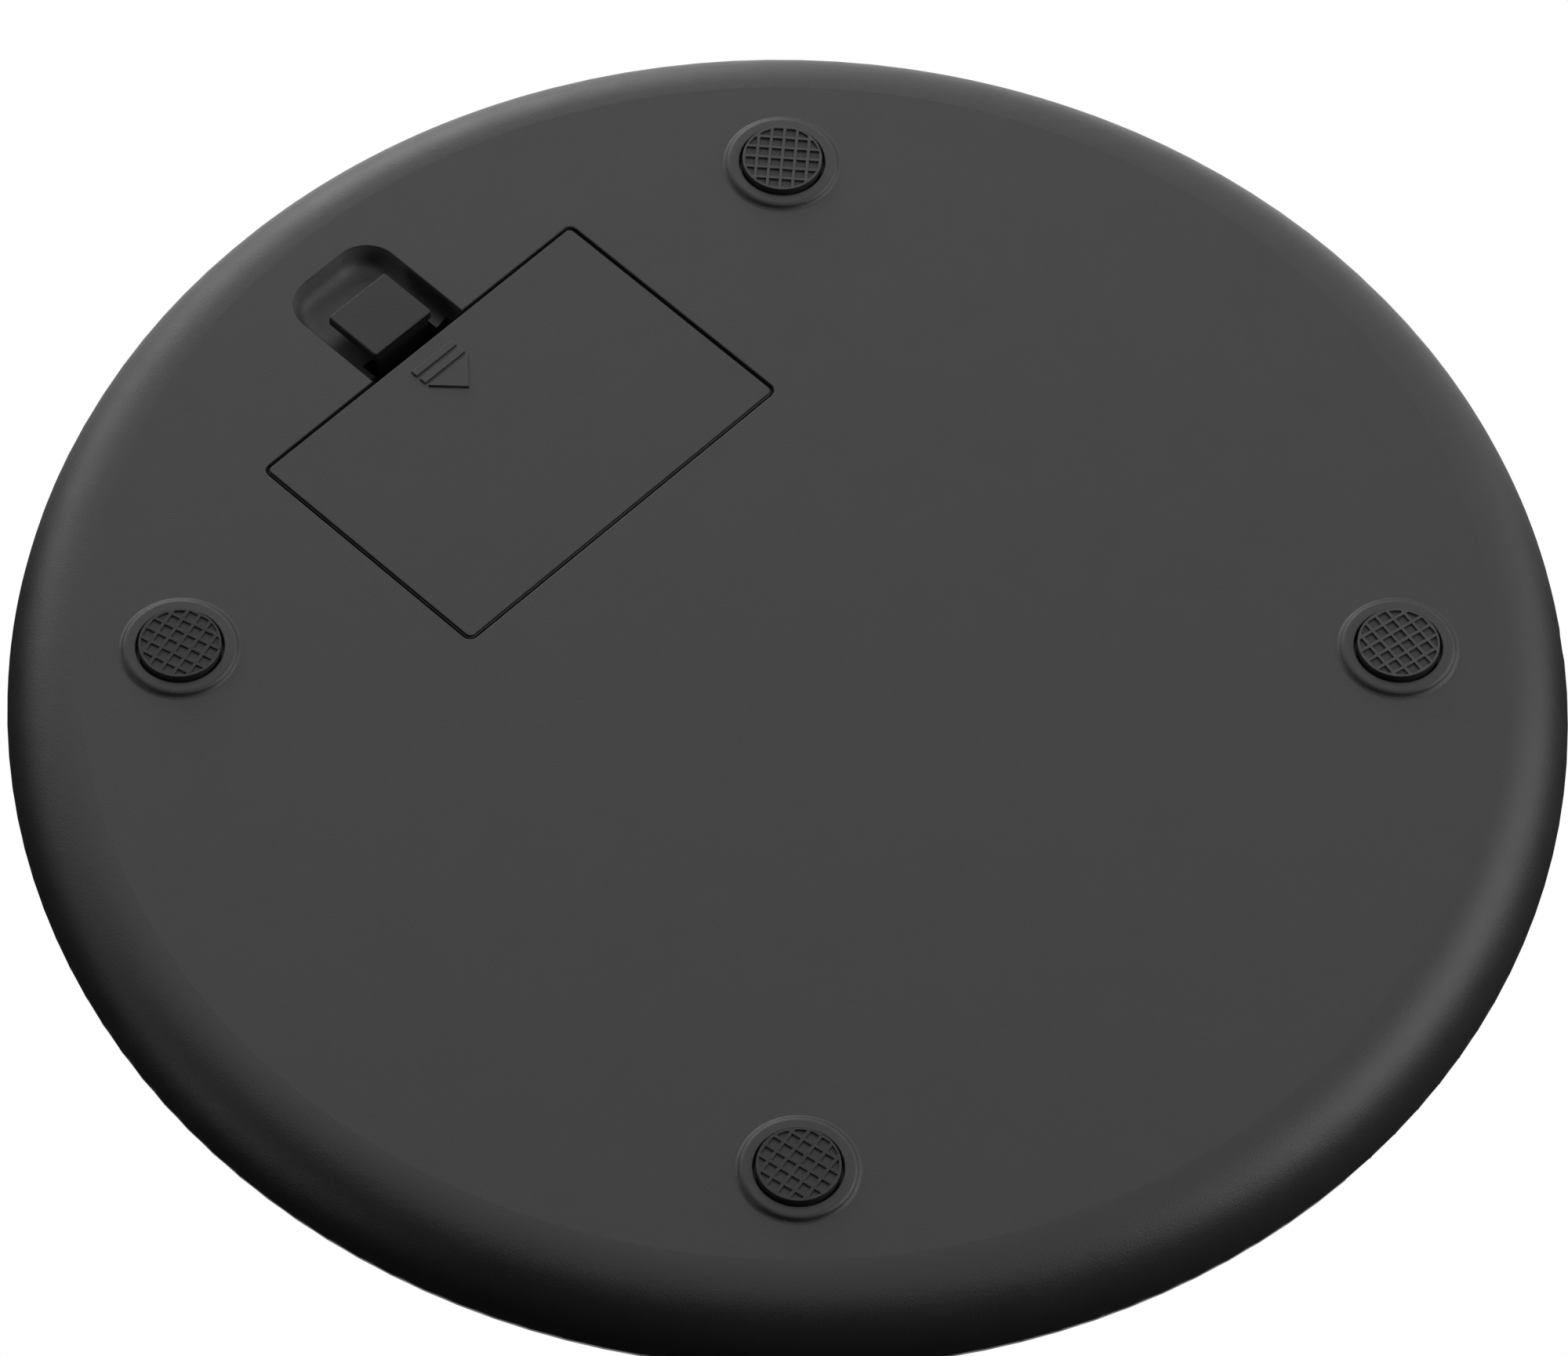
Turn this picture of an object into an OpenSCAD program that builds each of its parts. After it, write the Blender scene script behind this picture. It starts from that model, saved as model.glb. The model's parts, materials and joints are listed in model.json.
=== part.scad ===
// Digital bathroom scale: a round glass platform on a moulded tray that stands on four
// weighing feet, with a battery door and its snap latch in the underside.
// +Z is up, and the origin is on the floor under the middle of the platform.
// The display is towards +Y and the battery door towards -Y. Every size is in millimetres.

/* [Body] */
// Outside diameter of the tray
body_d = 335; // [332:1:345]
// Height of the flat underside above the floor
base_z = 2.4; // [2:0.1:3]
// Thickness of the tray's skin
wall = 2.4; // [2:0.1:2.8]
// Radius of the round between the underside and the side
rim_round = 16; // [13:0.5:16]
// Radius of the round on the tray's top edge
lip_round = 2; // [1:0.1:2]
// Height of the tray's lip above the underside of the platform
lip_over = 0.6; // [0.4:0.1:1.2]
// Thickness of the ribs inside the tray
rib_t = 1.6; // [1.2:0.1:2]
// Height of the stiffening ribs above the inner floor
rib_h = 6; // [4:0.5:8]
// Number of gussets that carry the bonding tape
gusset_count = 24; // [16:4:32]

/* [Platform] */
// Thickness of the glass
glass_t = 6; // [5:0.5:8]
// How far the glass stands back from the outside of the tray
glass_inset = 5; // [4.5:0.5:7]
// Gap between the edge of the glass and the tray's lip
glass_gap = 0.5; // [0.4:0.1:1]
// Radius of the polished edge of the glass
glass_edge = 1; // [0.5:0.1:1.5]
// Thickness of the print on the back of the glass
print_t = 0.2; // [0.1:0.05:0.3]
// Thickness of the bonding tape
tape_t = 0.8; // [0.5:0.1:1.2]
// Width of the bonding tape
tape_w = 5; // [4:0.5:8]
// Diameter of a cushion pad under the glass
cushion_d = 14; // [10:1:16]

/* [Feet] */
// Distance from the side of the tray to the middle of a foot
foot_inset = 37.5; // [35:0.5:44]
// Diameter of a rubber foot pad
pad_d = 17.6; // [15:0.1:19]
// Thickness of a rubber foot pad
pad_t = 2.4; // [2:0.1:3]
// Gap round a foot pad in its hole
pad_gap = 0.65; // [0.4:0.05:1]
// Height by which the pads stand out of their rings
pad_proud = 1.2; // [0.8:0.1:1.6]
// Width of the flat on the ring round a foot
ring_flat_w = 1.85; // [1.2:0.05:2.5]
// Width of the curved side of the ring round a foot
ring_side_w = 2.2; // [1.8:0.1:3]
// Spacing of the ribs on a foot pad
waffle_pitch = 2.8; // [2.2:0.1:4]
// Width of a rib on a foot pad
waffle_rib = 0.7; // [0.4:0.1:1]
// Depth of the squares between the ribs on a foot pad
waffle_depth = 0.5; // [0.3:0.1:1]
// Turn of the waffle on each foot, in degrees
waffle_turns = [11, -10, -15, -40]; // [-45:1:45]

/* [Load cells] */
// Side of the square load cell plate
cell_plate_w = 34; // [30:1:36]
// Thickness of the load cell plate
cell_plate_t = 1.2; // [1:0.1:2]
// Distance of a load cell's screws from its middle, along each side
cell_screw_off = 13.5; // [12:0.5:14]
// Height of the boss under a load cell
cell_boss_h = 4.6; // [4.5:0.1:5.5]
// Side of the clamp frame over a load cell
clamp_w = 38; // [36:1:40]
// Thickness of the clamp frame
clamp_t = 2; // [1.5:0.1:3]

/* [Battery door] */
// Width of the door opening, across the cells
door_open_w = 94; // [90:1:100]
// Length of the door opening, along the cells
door_open_l = 63.9; // [63.5:0.1:68]
// Distance from the side of the tray to the middle of the door
door_inset = 86.05; // [84:0.05:92]
// Corner radius of the door opening
door_corner = 2; // [1.8:0.1:4]
// Gap round the door
door_gap = 0.55; // [0.3:0.05:0.7]
// Thickness of the door
door_t = 1.6; // [1.5:0.1:2.2]
// Width of the step round the door's face
door_step = 0.3; // [0.2:0.05:0.6]
// Depth of the step round the door's face
door_step_h = 0.7; // [0.4:0.1:0.9]
// Width of the ledge that the door closes on
ledge_w = 1.8; // [1.5:0.1:2.5]
// Height of the raised arrow on the door
arrow_h = 0.5; // [0.3:0.1:0.8]
// Width of the raised arrow
arrow_w = 12.2; // [8:0.2:14]

/* [Latch] */
// Width of the finger recess
recess_w = 27; // [25:0.5:32]
// Length of the finger recess, from the door opening
recess_l = 29.6; // [28:0.1:31]
// Depth of the finger recess
recess_depth = 6; // [5.5:0.1:6.5]
// Corner radius of the recess's outer end
recess_corner = 8; // [6:0.5:10]
// Radius of the scooped edge of the recess's floor
recess_scoop = 4.5; // [3:0.5:5]
// Width of the latch's finger pad
finger_w = 17.2; // [16:0.2:18]
// Length of the latch's finger pad
finger_l = 14.7; // [12:0.1:15.5]
// Thickness of the latch's finger pad
finger_t = 2.4; // [2:0.1:3]
// Height by which the finger pad stands out of the underside
finger_proud = 0.5; // [0:0.1:0.8]
// Thickness of the latch's spring legs
leg_t = 1.4; // [1:0.1:1.6]
// Width of the latch's spring legs
leg_w = 15; // [10:0.5:16]

/* [Batteries] */
// Diameter of an AA cell
cell_d = 14.5; // [14:0.1:14.5]
// Length of an AA cell over its button
cell_l = 50.5; // [49.5:0.1:50.5]
// Spacing of the cells
cell_pitch = 15.3; // [14.9:0.1:15.5]
// Diameter of the spring wire
spring_wire = 0.8; // [0.6:0.1:1]

/* [Display] */
// Distance from the side of the tray to the middle of the display
lcd_inset = 55.5; // [50:0.5:60]
// Width of the display window
window_w = 66; // [60:1:68]
// Height of the display window
window_h = 28; // [24:1:29]
// Width of the liquid crystal panel
lcd_w = 72; // [70:1:74]
// Height of the liquid crystal panel
lcd_h = 34; // [33:1:36]
// Thickness of the liquid crystal panel
lcd_t = 2.7; // [2:0.1:3]
// Width of the circuit board and of the display frame
board_w = 84; // [82:1:92]
// Height of the circuit board and of the display frame
board_h = 46; // [44:1:50]
// Thickness of the circuit board
board_t = 1.6; // [1:0.1:2]
// Height of a digit
digit_h = 19; // [12:1:20]

/* [Unit button] */
// Diameter of the unit button
button_d = 7; // [5:0.5:8]
// Travel of the unit button
button_travel = 0.6; // [0.3:0.1:0.8]
// Gap round the unit button in its hole
button_gap = 0.2; // [0.1:0.05:0.4]

/* [Hidden] */
$fn = 96;
eps = 0.05;

// Heights, from the floor up
cell_door_gap = 0.3;
cell_roof_gap = 0.2;
roof_t = 1;
roof_glass_gap = 0.2;
floor_z = base_z + wall;
ring_z = pad_proud;
battery_z = base_z + door_t + cell_door_gap;
roof_z = battery_z + cell_d + cell_roof_gap;
print_z = roof_z + roof_t + roof_glass_gap;
glass_z = print_z + print_t;
tape_z = print_z - tape_t;
rim_top = print_z + lip_over;
ledge_z = base_z + door_t + 0.2;
cell_z = floor_z + cell_boss_h;
clamp_z = cell_z + cell_plate_t;

// Radii
body_r = body_d / 2;
rim_centre_r = body_r - rim_round;
rim_centre_z = base_z + rim_round;
glass_r = body_r - glass_inset;
lip_r = glass_r + glass_gap;
print_r = glass_r - glass_edge;
tape_r = print_r - 0.3;
tape_wall_r = tape_r - tape_w / 2;
rib_ring_gap = 22;
foot_r = body_r - foot_inset;
door_y = body_r - door_inset;
lcd_y = body_r - lcd_inset;
foot_hole_r = pad_d / 2 + pad_gap;
rib_rings = [20, foot_r - rib_ring_gap - 40, foot_r - rib_ring_gap];

// Feet
plunger_d = pad_d - 0.2;
flange_d = pad_d + 5;
flange_t = 1.2;
flange_z = floor_z + 0.3;
plunger_button_d = 8;
boss_d = 6.4;
screw_d = 2.2;
screw_hole_d = 3;
screw_head_d = 4.6;
screw_head_t = 1.6;
cell_opening = 20;
gauge_t = 0.3;
lead_w = 3.6;
lead_t = 1.2;
wire_d = 1.4;
joint_slim = 0.06;
lead_start_r = foot_r - clamp_w / 2 - 1.6;

// Battery bay: the door opening, the ledge inside it and the space for the cells
open_inner_y = -door_y + door_open_l / 2;
open_outer_y = -door_y - door_open_l / 2;
bay_w = door_open_w - 2 * ledge_w;
bay_inner_y = open_inner_y - ledge_w;
bay_outer_y = open_outer_y + ledge_w;
bay_wall = ledge_w + 0.6;
cells_w = 3 * cell_pitch + cell_d + 0.6;
cells_wall = 1.4;
contact_wall_t = 1.2;
low_z = 5.5;
shelf_z = 9;
shelf_t = 1;
plate_t = 0.4;
plate_tag_z = 15.2;
spring_l = 6.8;
contact_gap = cell_l + spring_l;
contact_y = bay_inner_y - contact_gap - 2 * plate_t;
side_x = (cells_w / 2 + cells_wall + bay_w / 2) / 2;
pocket_w = bay_w / 2 - cells_w / 2 - cells_wall;

// Door hinge and latch
hinge_y = open_inner_y - door_gap;
tab_w = 8;
tab_t = 1.3;
tab_reach = 3.25;
tab_clear = 0.2;
leg_inner_y = contact_y - contact_wall_t - 0.3 - leg_t / 2;
bend_r = 3.4;
bend_y = leg_inner_y - bend_r;
bend_z = base_z + 10.2;
leg_outer_y = bend_y - bend_r;
bead_r = 0.9;
bead_gap = 0.06;
pivot_z = bend_z + bend_r;
finger_y = leg_outer_y + leg_t / 2;
finger_z = base_z - finger_proud;
recess_z = base_z + recess_depth;
recess_plate_t = 2;
recess_wall = 1.8;
recess_end_y = open_outer_y - recess_l;
catch_reach = 1.2;
catch_gap = 0.7;
catch_y = leg_outer_y - leg_t / 2 - catch_reach - catch_gap;
catch_z = recess_z + recess_plate_t + 0.3;
well_w = recess_w - 2.4;
well_narrow_w = leg_w + 3.8;
well_step_y = open_outer_y - 3.7;
well_top = bend_z + bend_r + leg_t / 2 + 0.7;

// Display
lcd_z = print_z - 0.1 - lcd_t;
frame_z = lcd_z - 3.2;
board_z = frame_z - board_t;
lcd_gap = 0.3;
light_w = lcd_w - 12;
light_h = lcd_h - 12;
zebra_w = 2;
zebra_l = lcd_w - 10;
zebra_y = lcd_h / 2 - 2;
board_screw_x = board_w / 2 - 3;
board_screw_y = board_h / 2 - 3.5;
board_screw_d = 2;
board_head_d = 4.4;
socket_size = [8, 6, 4];
socket_clear = 1.8;
socket_pitch = (board_screw_x - board_head_d / 2 - socket_clear - socket_size[0] / 2) / 2;
socket_mid = 10;
socket_y = lcd_y - board_h / 2 + 4.5;

// Unit button
button_y = 11.45 - door_y;
button_flange_z = shelf_z + shelf_t + 0.15;
switch_z = button_flange_z + 1.1 + 1.4 + button_travel + 0.1;
unit_board_z = switch_z + 4;
unit_board_t = 1.2;
unit_board_size = [pocket_w - 2.3, 26];
button_flange_d = button_d + 2.6;
unit_post_off = 10;

// Cushion pads, and the routes of the leads over the tray's floor
cushion_at = [[0, 0], [80, 0], [-80, 0], [0, 64]];
lead_start = lead_start_r * cos(45);
route_front = [[lead_start, lead_start], [56, 82], [2 * socket_pitch, 84], [2 * socket_pitch, socket_y]];
route_back = [[lead_start, -lead_start], [66, -60], [66, 40], [44, 74],
    [socket_pitch, 84], [socket_pitch, socket_y]];
battery_lead_x = 1.5 * cell_pitch;
battery_lead_y = bay_inner_y + bay_wall + 1.9;
route_battery = [[battery_lead_x, battery_lead_y], [battery_lead_x, -36], [14, -10], [14, 60],
    [2, 84], [2, socket_y]];
unit_lead_y = battery_lead_y + 3;
route_unit = [[side_x, unit_lead_y], [side_x - 6, -30], [30, 30], [30, 66],
    [socket_mid, 84], [socket_mid, socket_y]];

// ---- Helpers ----

module block(low, high) {
    translate(low) cube(high - low);
}

module patch(low, high) {
    translate(low) square(high - low);
}

// A rectangle with round corners, about the origin
module rounded_rect(w, l, r) {
    square([w - 2 * r, l], center = true);
    square([w, l - 2 * r], center = true);
    for (x = [-1, 1], y = [-1, 1]) translate([x * (w / 2 - r), y * (l / 2 - r)]) circle(r = r);
}

module rounded_slab(w, l, h, r) {
    linear_extrude(h) rounded_rect(w, l, r);
}

// A flat shape in the Y-Z plane, drawn with 2D x along Y, and w thick about X = 0
module across(w) {
    translate([-w / 2, 0, 0]) rotate([90, 0, 90]) linear_extrude(w) children();
}

module at_foot(i) {
    rotate(45 + 90 * (i - 1)) translate([foot_r, 0, 0]) children();
}

module at_cell_screws() {
    for (x = [-1, 1], y = [-1, 1]) translate([x * cell_screw_off, y * cell_screw_off, 0]) children();
}

module at_board_screws() {
    for (x = [-1, 1], y = [-1, 1]) translate([x * board_screw_x, lcd_y + y * board_screw_y, 0]) children();
}

module at_door() {
    translate([0, -door_y, 0]) children();
}

// A flat lead along a route: straight runs with round joints that are a little slimmer
module ribbon(route, w) {
    for (i = [0 : len(route) - 2]) {
        step = route[i + 1] - route[i];
        translate(route[i]) rotate(atan2(step[1], step[0])) translate([0, -w / 2]) square([norm(step), w]);
    }
    for (p = route) translate(p) circle(d = w - joint_slim);
}

// The upright end of a lead, slimmer again than its run
module lead_end(p, w, low, high) {
    translate([p[0], p[1], low]) cylinder(d = w - 3 * joint_slim, h = high - low);
}

function mirrored(route) = [for (p = route) [-p[0], p[1]]];
function route_of(i) = i == 1 ? route_front : i == 2 ? mirrored(route_front)
    : i == 3 ? mirrored(route_back) : route_back;

// ---- Platform ----

module platform_glass() {
    color("#1c2a28") rotate_extrude($fn = 180) {
        patch([0, glass_z], [glass_r - glass_edge, glass_z + glass_t]);
        patch([0, glass_z + glass_edge], [glass_r, glass_z + glass_t - glass_edge]);
        for (z = [glass_z + glass_edge, glass_z + glass_t - glass_edge])
            translate([glass_r - glass_edge, z]) circle(r = glass_edge);
    }
}

module glass_print() {
    color("#101010") difference() {
        translate([0, 0, print_z]) cylinder(r = print_r, h = print_t);
        translate([0, lcd_y, print_z - eps]) rounded_slab(window_w, window_h, print_t + 2 * eps, 2);
    }
}

module platform_tape() {
    color("#e8e8e4") difference() {
        translate([0, 0, tape_z]) cylinder(r = tape_r, h = tape_t);
        translate([0, 0, tape_z - eps]) cylinder(r = tape_r - tape_w, h = tape_t + 2 * eps);
    }
}

module cushion_pads() {
    color("#2b2b2b") for (p = cushion_at)
        translate([p[0], p[1], tape_z]) cylinder(d = cushion_d, h = tape_t);
}

// ---- Tray ----

module tray_outline() {
    patch([0, base_z], [rim_centre_r, rim_centre_z]);
    intersection() {
        translate([rim_centre_r, rim_centre_z]) circle(r = rim_round);
        patch([0, base_z], [body_r, rim_centre_z]);
    }
    patch([0, rim_centre_z], [body_r, rim_top - lip_round]);
    patch([0, rim_centre_z], [body_r - lip_round, rim_top]);
    translate([body_r - lip_round, rim_top - lip_round]) circle(r = lip_round);
}

module tray_hollow() {
    intersection() {
        union() {
            patch([0, floor_z], [rim_centre_r, rim_top + 1]);
            intersection() {
                translate([rim_centre_r, rim_centre_z]) circle(r = rim_round - wall);
                patch([0, floor_z], [body_r, rim_centre_z]);
            }
            patch([0, rim_centre_z - eps], [body_r - wall, rim_top + 1]);
        }
        patch([0, 0], [lip_r, rim_top + 1]);
    }
}

// The raised ring round a foot: a flat, then a round edge that flows into the underside.
// It sinks a little into the underside, so that the two surfaces cross.
module foot_ring() {
    rise = base_z - ring_z;
    turn = 2 * atan(rise / ring_side_w);
    r = ring_side_w / (2 * sin(turn));
    flat_r = foot_hole_r + ring_flat_w;
    mid = [flat_r + ring_side_w / 2, ring_z + rise / 2];
    top = base_z + 0.5;
    translate([0, 0, 0.02]) rotate_extrude() {
        patch([foot_hole_r - 1, ring_z], [flat_r, top]);
        intersection() {
            translate([flat_r, ring_z + r]) circle(r = r);
            patch([flat_r - eps, ring_z], [mid[0], top]);
        }
        difference() {
            patch([mid[0] - eps, mid[1]], [flat_r + ring_side_w, top]);
            translate([flat_r + ring_side_w, base_z - r]) circle(r = r);
        }
        patch([flat_r - eps, mid[1]], [mid[0], top]);
    }
}

module tape_wall() {
    difference() {
        translate([0, 0, floor_z + 0.2]) cylinder(r = tape_wall_r + 1, h = tape_z - floor_z - 0.2);
        translate([0, 0, floor_z - 1]) cylinder(r = tape_wall_r - 1, h = rim_top);
    }
    for (i = [0 : gusset_count - 1]) rotate((i + 0.5) * 360 / gusset_count)
        block([tape_wall_r, -rib_t / 2, floor_z + 4], [lip_r + 0.2, rib_t / 2, tape_z]);
}

module stiffening_ribs() {
    difference() {
        union() {
            for (a = [0 : 22.5 : 337.5]) rotate(a)
                block([rib_rings[0], -rib_t / 2, floor_z - eps], [tape_wall_r, rib_t / 2, floor_z + rib_h]);
            for (r = rib_rings) difference() {
                translate([0, 0, floor_z - eps]) cylinder(r = r + rib_t / 2, h = rib_h + eps);
                translate([0, 0, floor_z - 1]) cylinder(r = r - rib_t / 2, h = rib_h + 2);
            }
        }
        block([-door_open_w / 2 - 3, recess_end_y - 6, floor_z - 1],
            [door_open_w / 2 + 3, battery_lead_y + 3, floor_z + rib_h + 1]);
        block([-board_w / 2 - 4, lcd_y - board_h / 2 - 6, floor_z - 1],
            [board_w / 2 + 4, lcd_y + board_h / 2 + 3, floor_z + rib_h + 1]);
        for (i = [1 : 4]) at_foot(i)
            translate([0, 0, floor_z - 1]) cylinder(r = clamp_w * 0.74, h = rib_h + 2);
        for (i = [1 : 4]) translate([0, 0, floor_z - 1])
            linear_extrude(rib_h + 2) ribbon(route_of(i), lead_w + 1.2);
        for (route = [route_battery, mirrored(route_battery), route_unit])
            translate([0, 0, floor_z - 1]) linear_extrude(rib_h + 2) ribbon(route, lead_w);
    }
}

module bay_blocks() {
    outer_x = bay_w / 2 + bay_wall;
    block([-outer_x, bay_outer_y - bay_wall, floor_z - eps],
        [outer_x, bay_inner_y + bay_wall, shelf_z + shelf_t]);
    block([-cells_w / 2 - cells_wall, bay_outer_y - bay_wall, floor_z],
        [cells_w / 2 + cells_wall, bay_inner_y + bay_wall, roof_z + roof_t]);
}

module bay_cuts() {
    at_door() translate([0, 0, base_z - 1])
        rounded_slab(door_open_w, door_open_l, ledge_z - base_z + 1, door_corner);
    block([-bay_w / 2, bay_outer_y, ledge_z - eps], [bay_w / 2, bay_inner_y, low_z]);
    block([-cells_w / 2, contact_y, low_z - eps], [cells_w / 2, bay_inner_y, roof_z]);
    for (s = [-1, 1]) {
        near = s * (cells_w / 2 + cells_wall);
        far = s * bay_w / 2;
        block([min(near, far), bay_outer_y, low_z - eps], [max(near, far), bay_inner_y, shelf_z]);
        translate([s * side_x, 0, 0]) block([-tab_w / 2 - 0.5, bay_inner_y - 1, ledge_z - eps],
            [tab_w / 2 + 0.5, bay_inner_y + bay_wall + 1, shelf_z]);
    }
}

module recess_cut() {
    side = recess_w / 2;
    corner_x = side - recess_corner;
    corner_y = recess_end_y + recess_corner;
    scoop_z = recess_z - recess_scoop;
    small = recess_corner - recess_scoop;
    translate([0, 0, base_z - 1]) linear_extrude(scoop_z - base_z + 1) {
        patch([-side, corner_y], [side, open_outer_y + 1]);
        patch([-corner_x, recess_end_y], [corner_x, corner_y + 1]);
        for (s = [-1, 1]) translate([s * corner_x, corner_y]) circle(r = recess_corner);
    }
    for (s = [-1, 1]) {
        translate([s * corner_x, corner_y, 0]) rotate_extrude() {
            patch([0, scoop_z - 1], [small, recess_z]);
            intersection() {
                translate([small, scoop_z]) circle(r = recess_scoop);
                patch([0, scoop_z - 1], [recess_corner, recess_z]);
            }
        }
        translate([s * (side - recess_scoop), corner_y, scoop_z]) rotate([-90, 0, 0])
            cylinder(r = recess_scoop, h = open_outer_y - corner_y + 0.3);
    }
    translate([-corner_x, recess_end_y + recess_scoop, scoop_z]) rotate([0, 90, 0])
        cylinder(r = recess_scoop, h = 2 * corner_x);
    block([-(side - recess_scoop), corner_y, base_z], [side - recess_scoop, open_outer_y + 0.3, recess_z]);
    block([-corner_x, recess_end_y + recess_scoop, base_z], [corner_x, corner_y + 1, recess_z]);
}

module recess_block() {
    side = recess_w / 2 + recess_wall;
    end = recess_end_y - recess_wall;
    corner = recess_corner + recess_wall;
    translate([0, 0, floor_z - eps]) linear_extrude(recess_z + recess_plate_t - floor_z + eps) {
        patch([-side, end + corner], [side, bay_outer_y - 1]);
        patch([-side + corner, end], [side - corner, end + corner + 1]);
        for (s = [-1, 1]) translate([s * (side - corner), end + corner]) circle(r = corner);
    }
    block([-well_w / 2 - 1.6, catch_y - 1.6, floor_z], [well_w / 2 + 1.6, bay_outer_y - 1, well_top + 1.4]);
}

module well_cut() {
    block([-well_w / 2, well_step_y, ledge_z - eps], [well_w / 2, bay_outer_y + 0.5, well_top]);
    block([-well_narrow_w / 2, catch_y, ledge_z], [well_narrow_w / 2, well_step_y + 1, well_top]);
    block([-cells_w / 2, bay_outer_y, low_z - eps],
        [cells_w / 2, contact_y - contact_wall_t, well_top]);
}

module bottom_tray() {
    color("#3f3f40") union() {
        difference() {
            union() {
                difference() {
                    rotate_extrude($fn = 180) tray_outline();
                    rotate_extrude($fn = 180) tray_hollow();
                }
                for (i = [1 : 4]) at_foot(i) {
                    foot_ring();
                    at_cell_screws() translate([0, 0, floor_z - eps])
                        cylinder(d = boss_d, h = cell_boss_h + eps);
                }
                tape_wall();
                stiffening_ribs();
                for (p = cushion_at) translate([p[0], p[1], floor_z - eps])
                    cylinder(d = cushion_d - 1, h = tape_z - floor_z + eps);
                bay_blocks();
                recess_block();
                for (s = [-1, 1]) translate([side_x, button_y + s * unit_post_off, shelf_z + eps])
                    cylinder(d = 4.4, h = unit_board_z - shelf_z - eps);
            }
            for (i = [1 : 4]) at_foot(i) {
                translate([0, 0, ring_z - 1]) cylinder(r = foot_hole_r, h = wall + base_z);
                at_cell_screws() translate([0, 0, floor_z + 0.6])
                    cylinder(d = screw_d + 0.1, h = cell_boss_h);
            }
            bay_cuts();
            recess_cut();
            well_cut();
            translate([side_x, button_y, shelf_z - 1])
                cylinder(d = button_d + 2 * button_gap, h = shelf_t + 2);
            for (s = [-1, 1]) {
                translate([side_x, button_y + s * unit_post_off, shelf_z + shelf_t + 0.5])
                    cylinder(d = 1.8, h = unit_board_z - shelf_z);
                translate([s * battery_lead_x, 0, 0])
                    block([-1.8, bay_inner_y - 1, plate_tag_z - 0.2],
                        [1.8, bay_inner_y + bay_wall + 1, plate_tag_z + plate_t + 0.2]);
            }
        }
        for (x = [-1, 0, 1]) translate([x * cell_pitch, 0, 0])
            block([-0.5, contact_y + 8, roof_z - 3], [0.5, bay_inner_y - 8, roof_z + eps]);
    }
}

// ---- Door and latch ----

module battery_door() {
    flange_w = door_open_w - 2 * door_gap;
    flange_l = door_open_l - 2 * door_gap;
    door_rib_l = door_open_l - 20;
    color("#3f3f40") {
        at_door() {
            translate([0, 0, base_z + door_step_h])
                rounded_slab(flange_w, flange_l, door_t - door_step_h, door_corner - door_gap);
            translate([0, 0, base_z]) rounded_slab(flange_w - 2 * door_step, flange_l - 2 * door_step,
                door_step_h + eps, door_corner - door_gap - door_step);
        }
        door_arrow();
        for (s = [-1, 1]) {
            translate([s * side_x, 0, 0]) hinge_tab();
            translate([s * (bay_w / 2 - 3), -door_y, base_z + door_t])
                block([-0.6, -door_rib_l / 2, -eps], [0.6, door_rib_l / 2, 1.2]);
        }
        across(leg_w) difference() {
            union() {
                patch([leg_inner_y - leg_t / 2, base_z + door_t - eps], [leg_inner_y + leg_t / 2, bend_z]);
                bend_half(1);
            }
            translate([bend_y, pivot_z]) circle(r = bead_r + bead_gap);
        }
    }
}

// Two bars and a triangle that points to the middle of the scale
module door_arrow() {
    bar = 1.7;
    space = 0.95;
    tip = 6.5;
    first = open_outer_y + 4.3;
    translate([0, first, base_z - arrow_h]) linear_extrude(arrow_h + eps) {
        for (i = [0, 1]) patch([-arrow_w / 2, i * (bar + space)], [arrow_w / 2, i * (bar + space) + bar]);
        translate([0, 2 * (bar + space)]) polygon([[-arrow_w / 2, 0], [arrow_w / 2, 0], [0, tip]]);
    }
}

// The hook at the door's inner edge that turns over the tray's floor
module hinge_tab() {
    under = floor_z + tab_clear;
    inner = base_z + door_t - eps;
    across(tab_w) polygon([
        [hinge_y - 3, inner], [hinge_y - 0.35, inner], [hinge_y - 0.35, under],
        [hinge_y + tab_reach, under], [hinge_y + tab_reach, under + tab_t], [hinge_y - 3, under + tab_t]
    ]);
}

// One half of the latch's U bend: 1 for the door's side, -1 for the finger's side
module bend_half(side) {
    intersection() {
        translate([bend_y, bend_z]) difference() {
            circle(r = bend_r + leg_t / 2);
            circle(r = bend_r - leg_t / 2);
        }
        translate([bend_y, bend_z]) patch([min(0, side * 10), 0], [max(0, side * 10), 10]);
    }
}

module door_latch() {
    outer = leg_outer_y - leg_t / 2;
    color("#3a3a3b") {
        across(leg_w) {
            translate([bend_y, pivot_z]) circle(r = bead_r);
            bend_half(-1);
            patch([outer, finger_z + 1], [outer + leg_t, bend_z + eps]);
            polygon([[outer + eps, catch_z], [outer - 0.2, catch_z], [outer - catch_reach, catch_z + 0.8],
                [outer - catch_reach, catch_z + 1.3], [outer + eps, catch_z + 2.6]]);
        }
        translate([0, finger_y - finger_l / 2, finger_z]) rounded_slab(finger_w, finger_l, finger_t, 0.6);
    }
}

// ---- Feet and load cells ----

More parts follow.
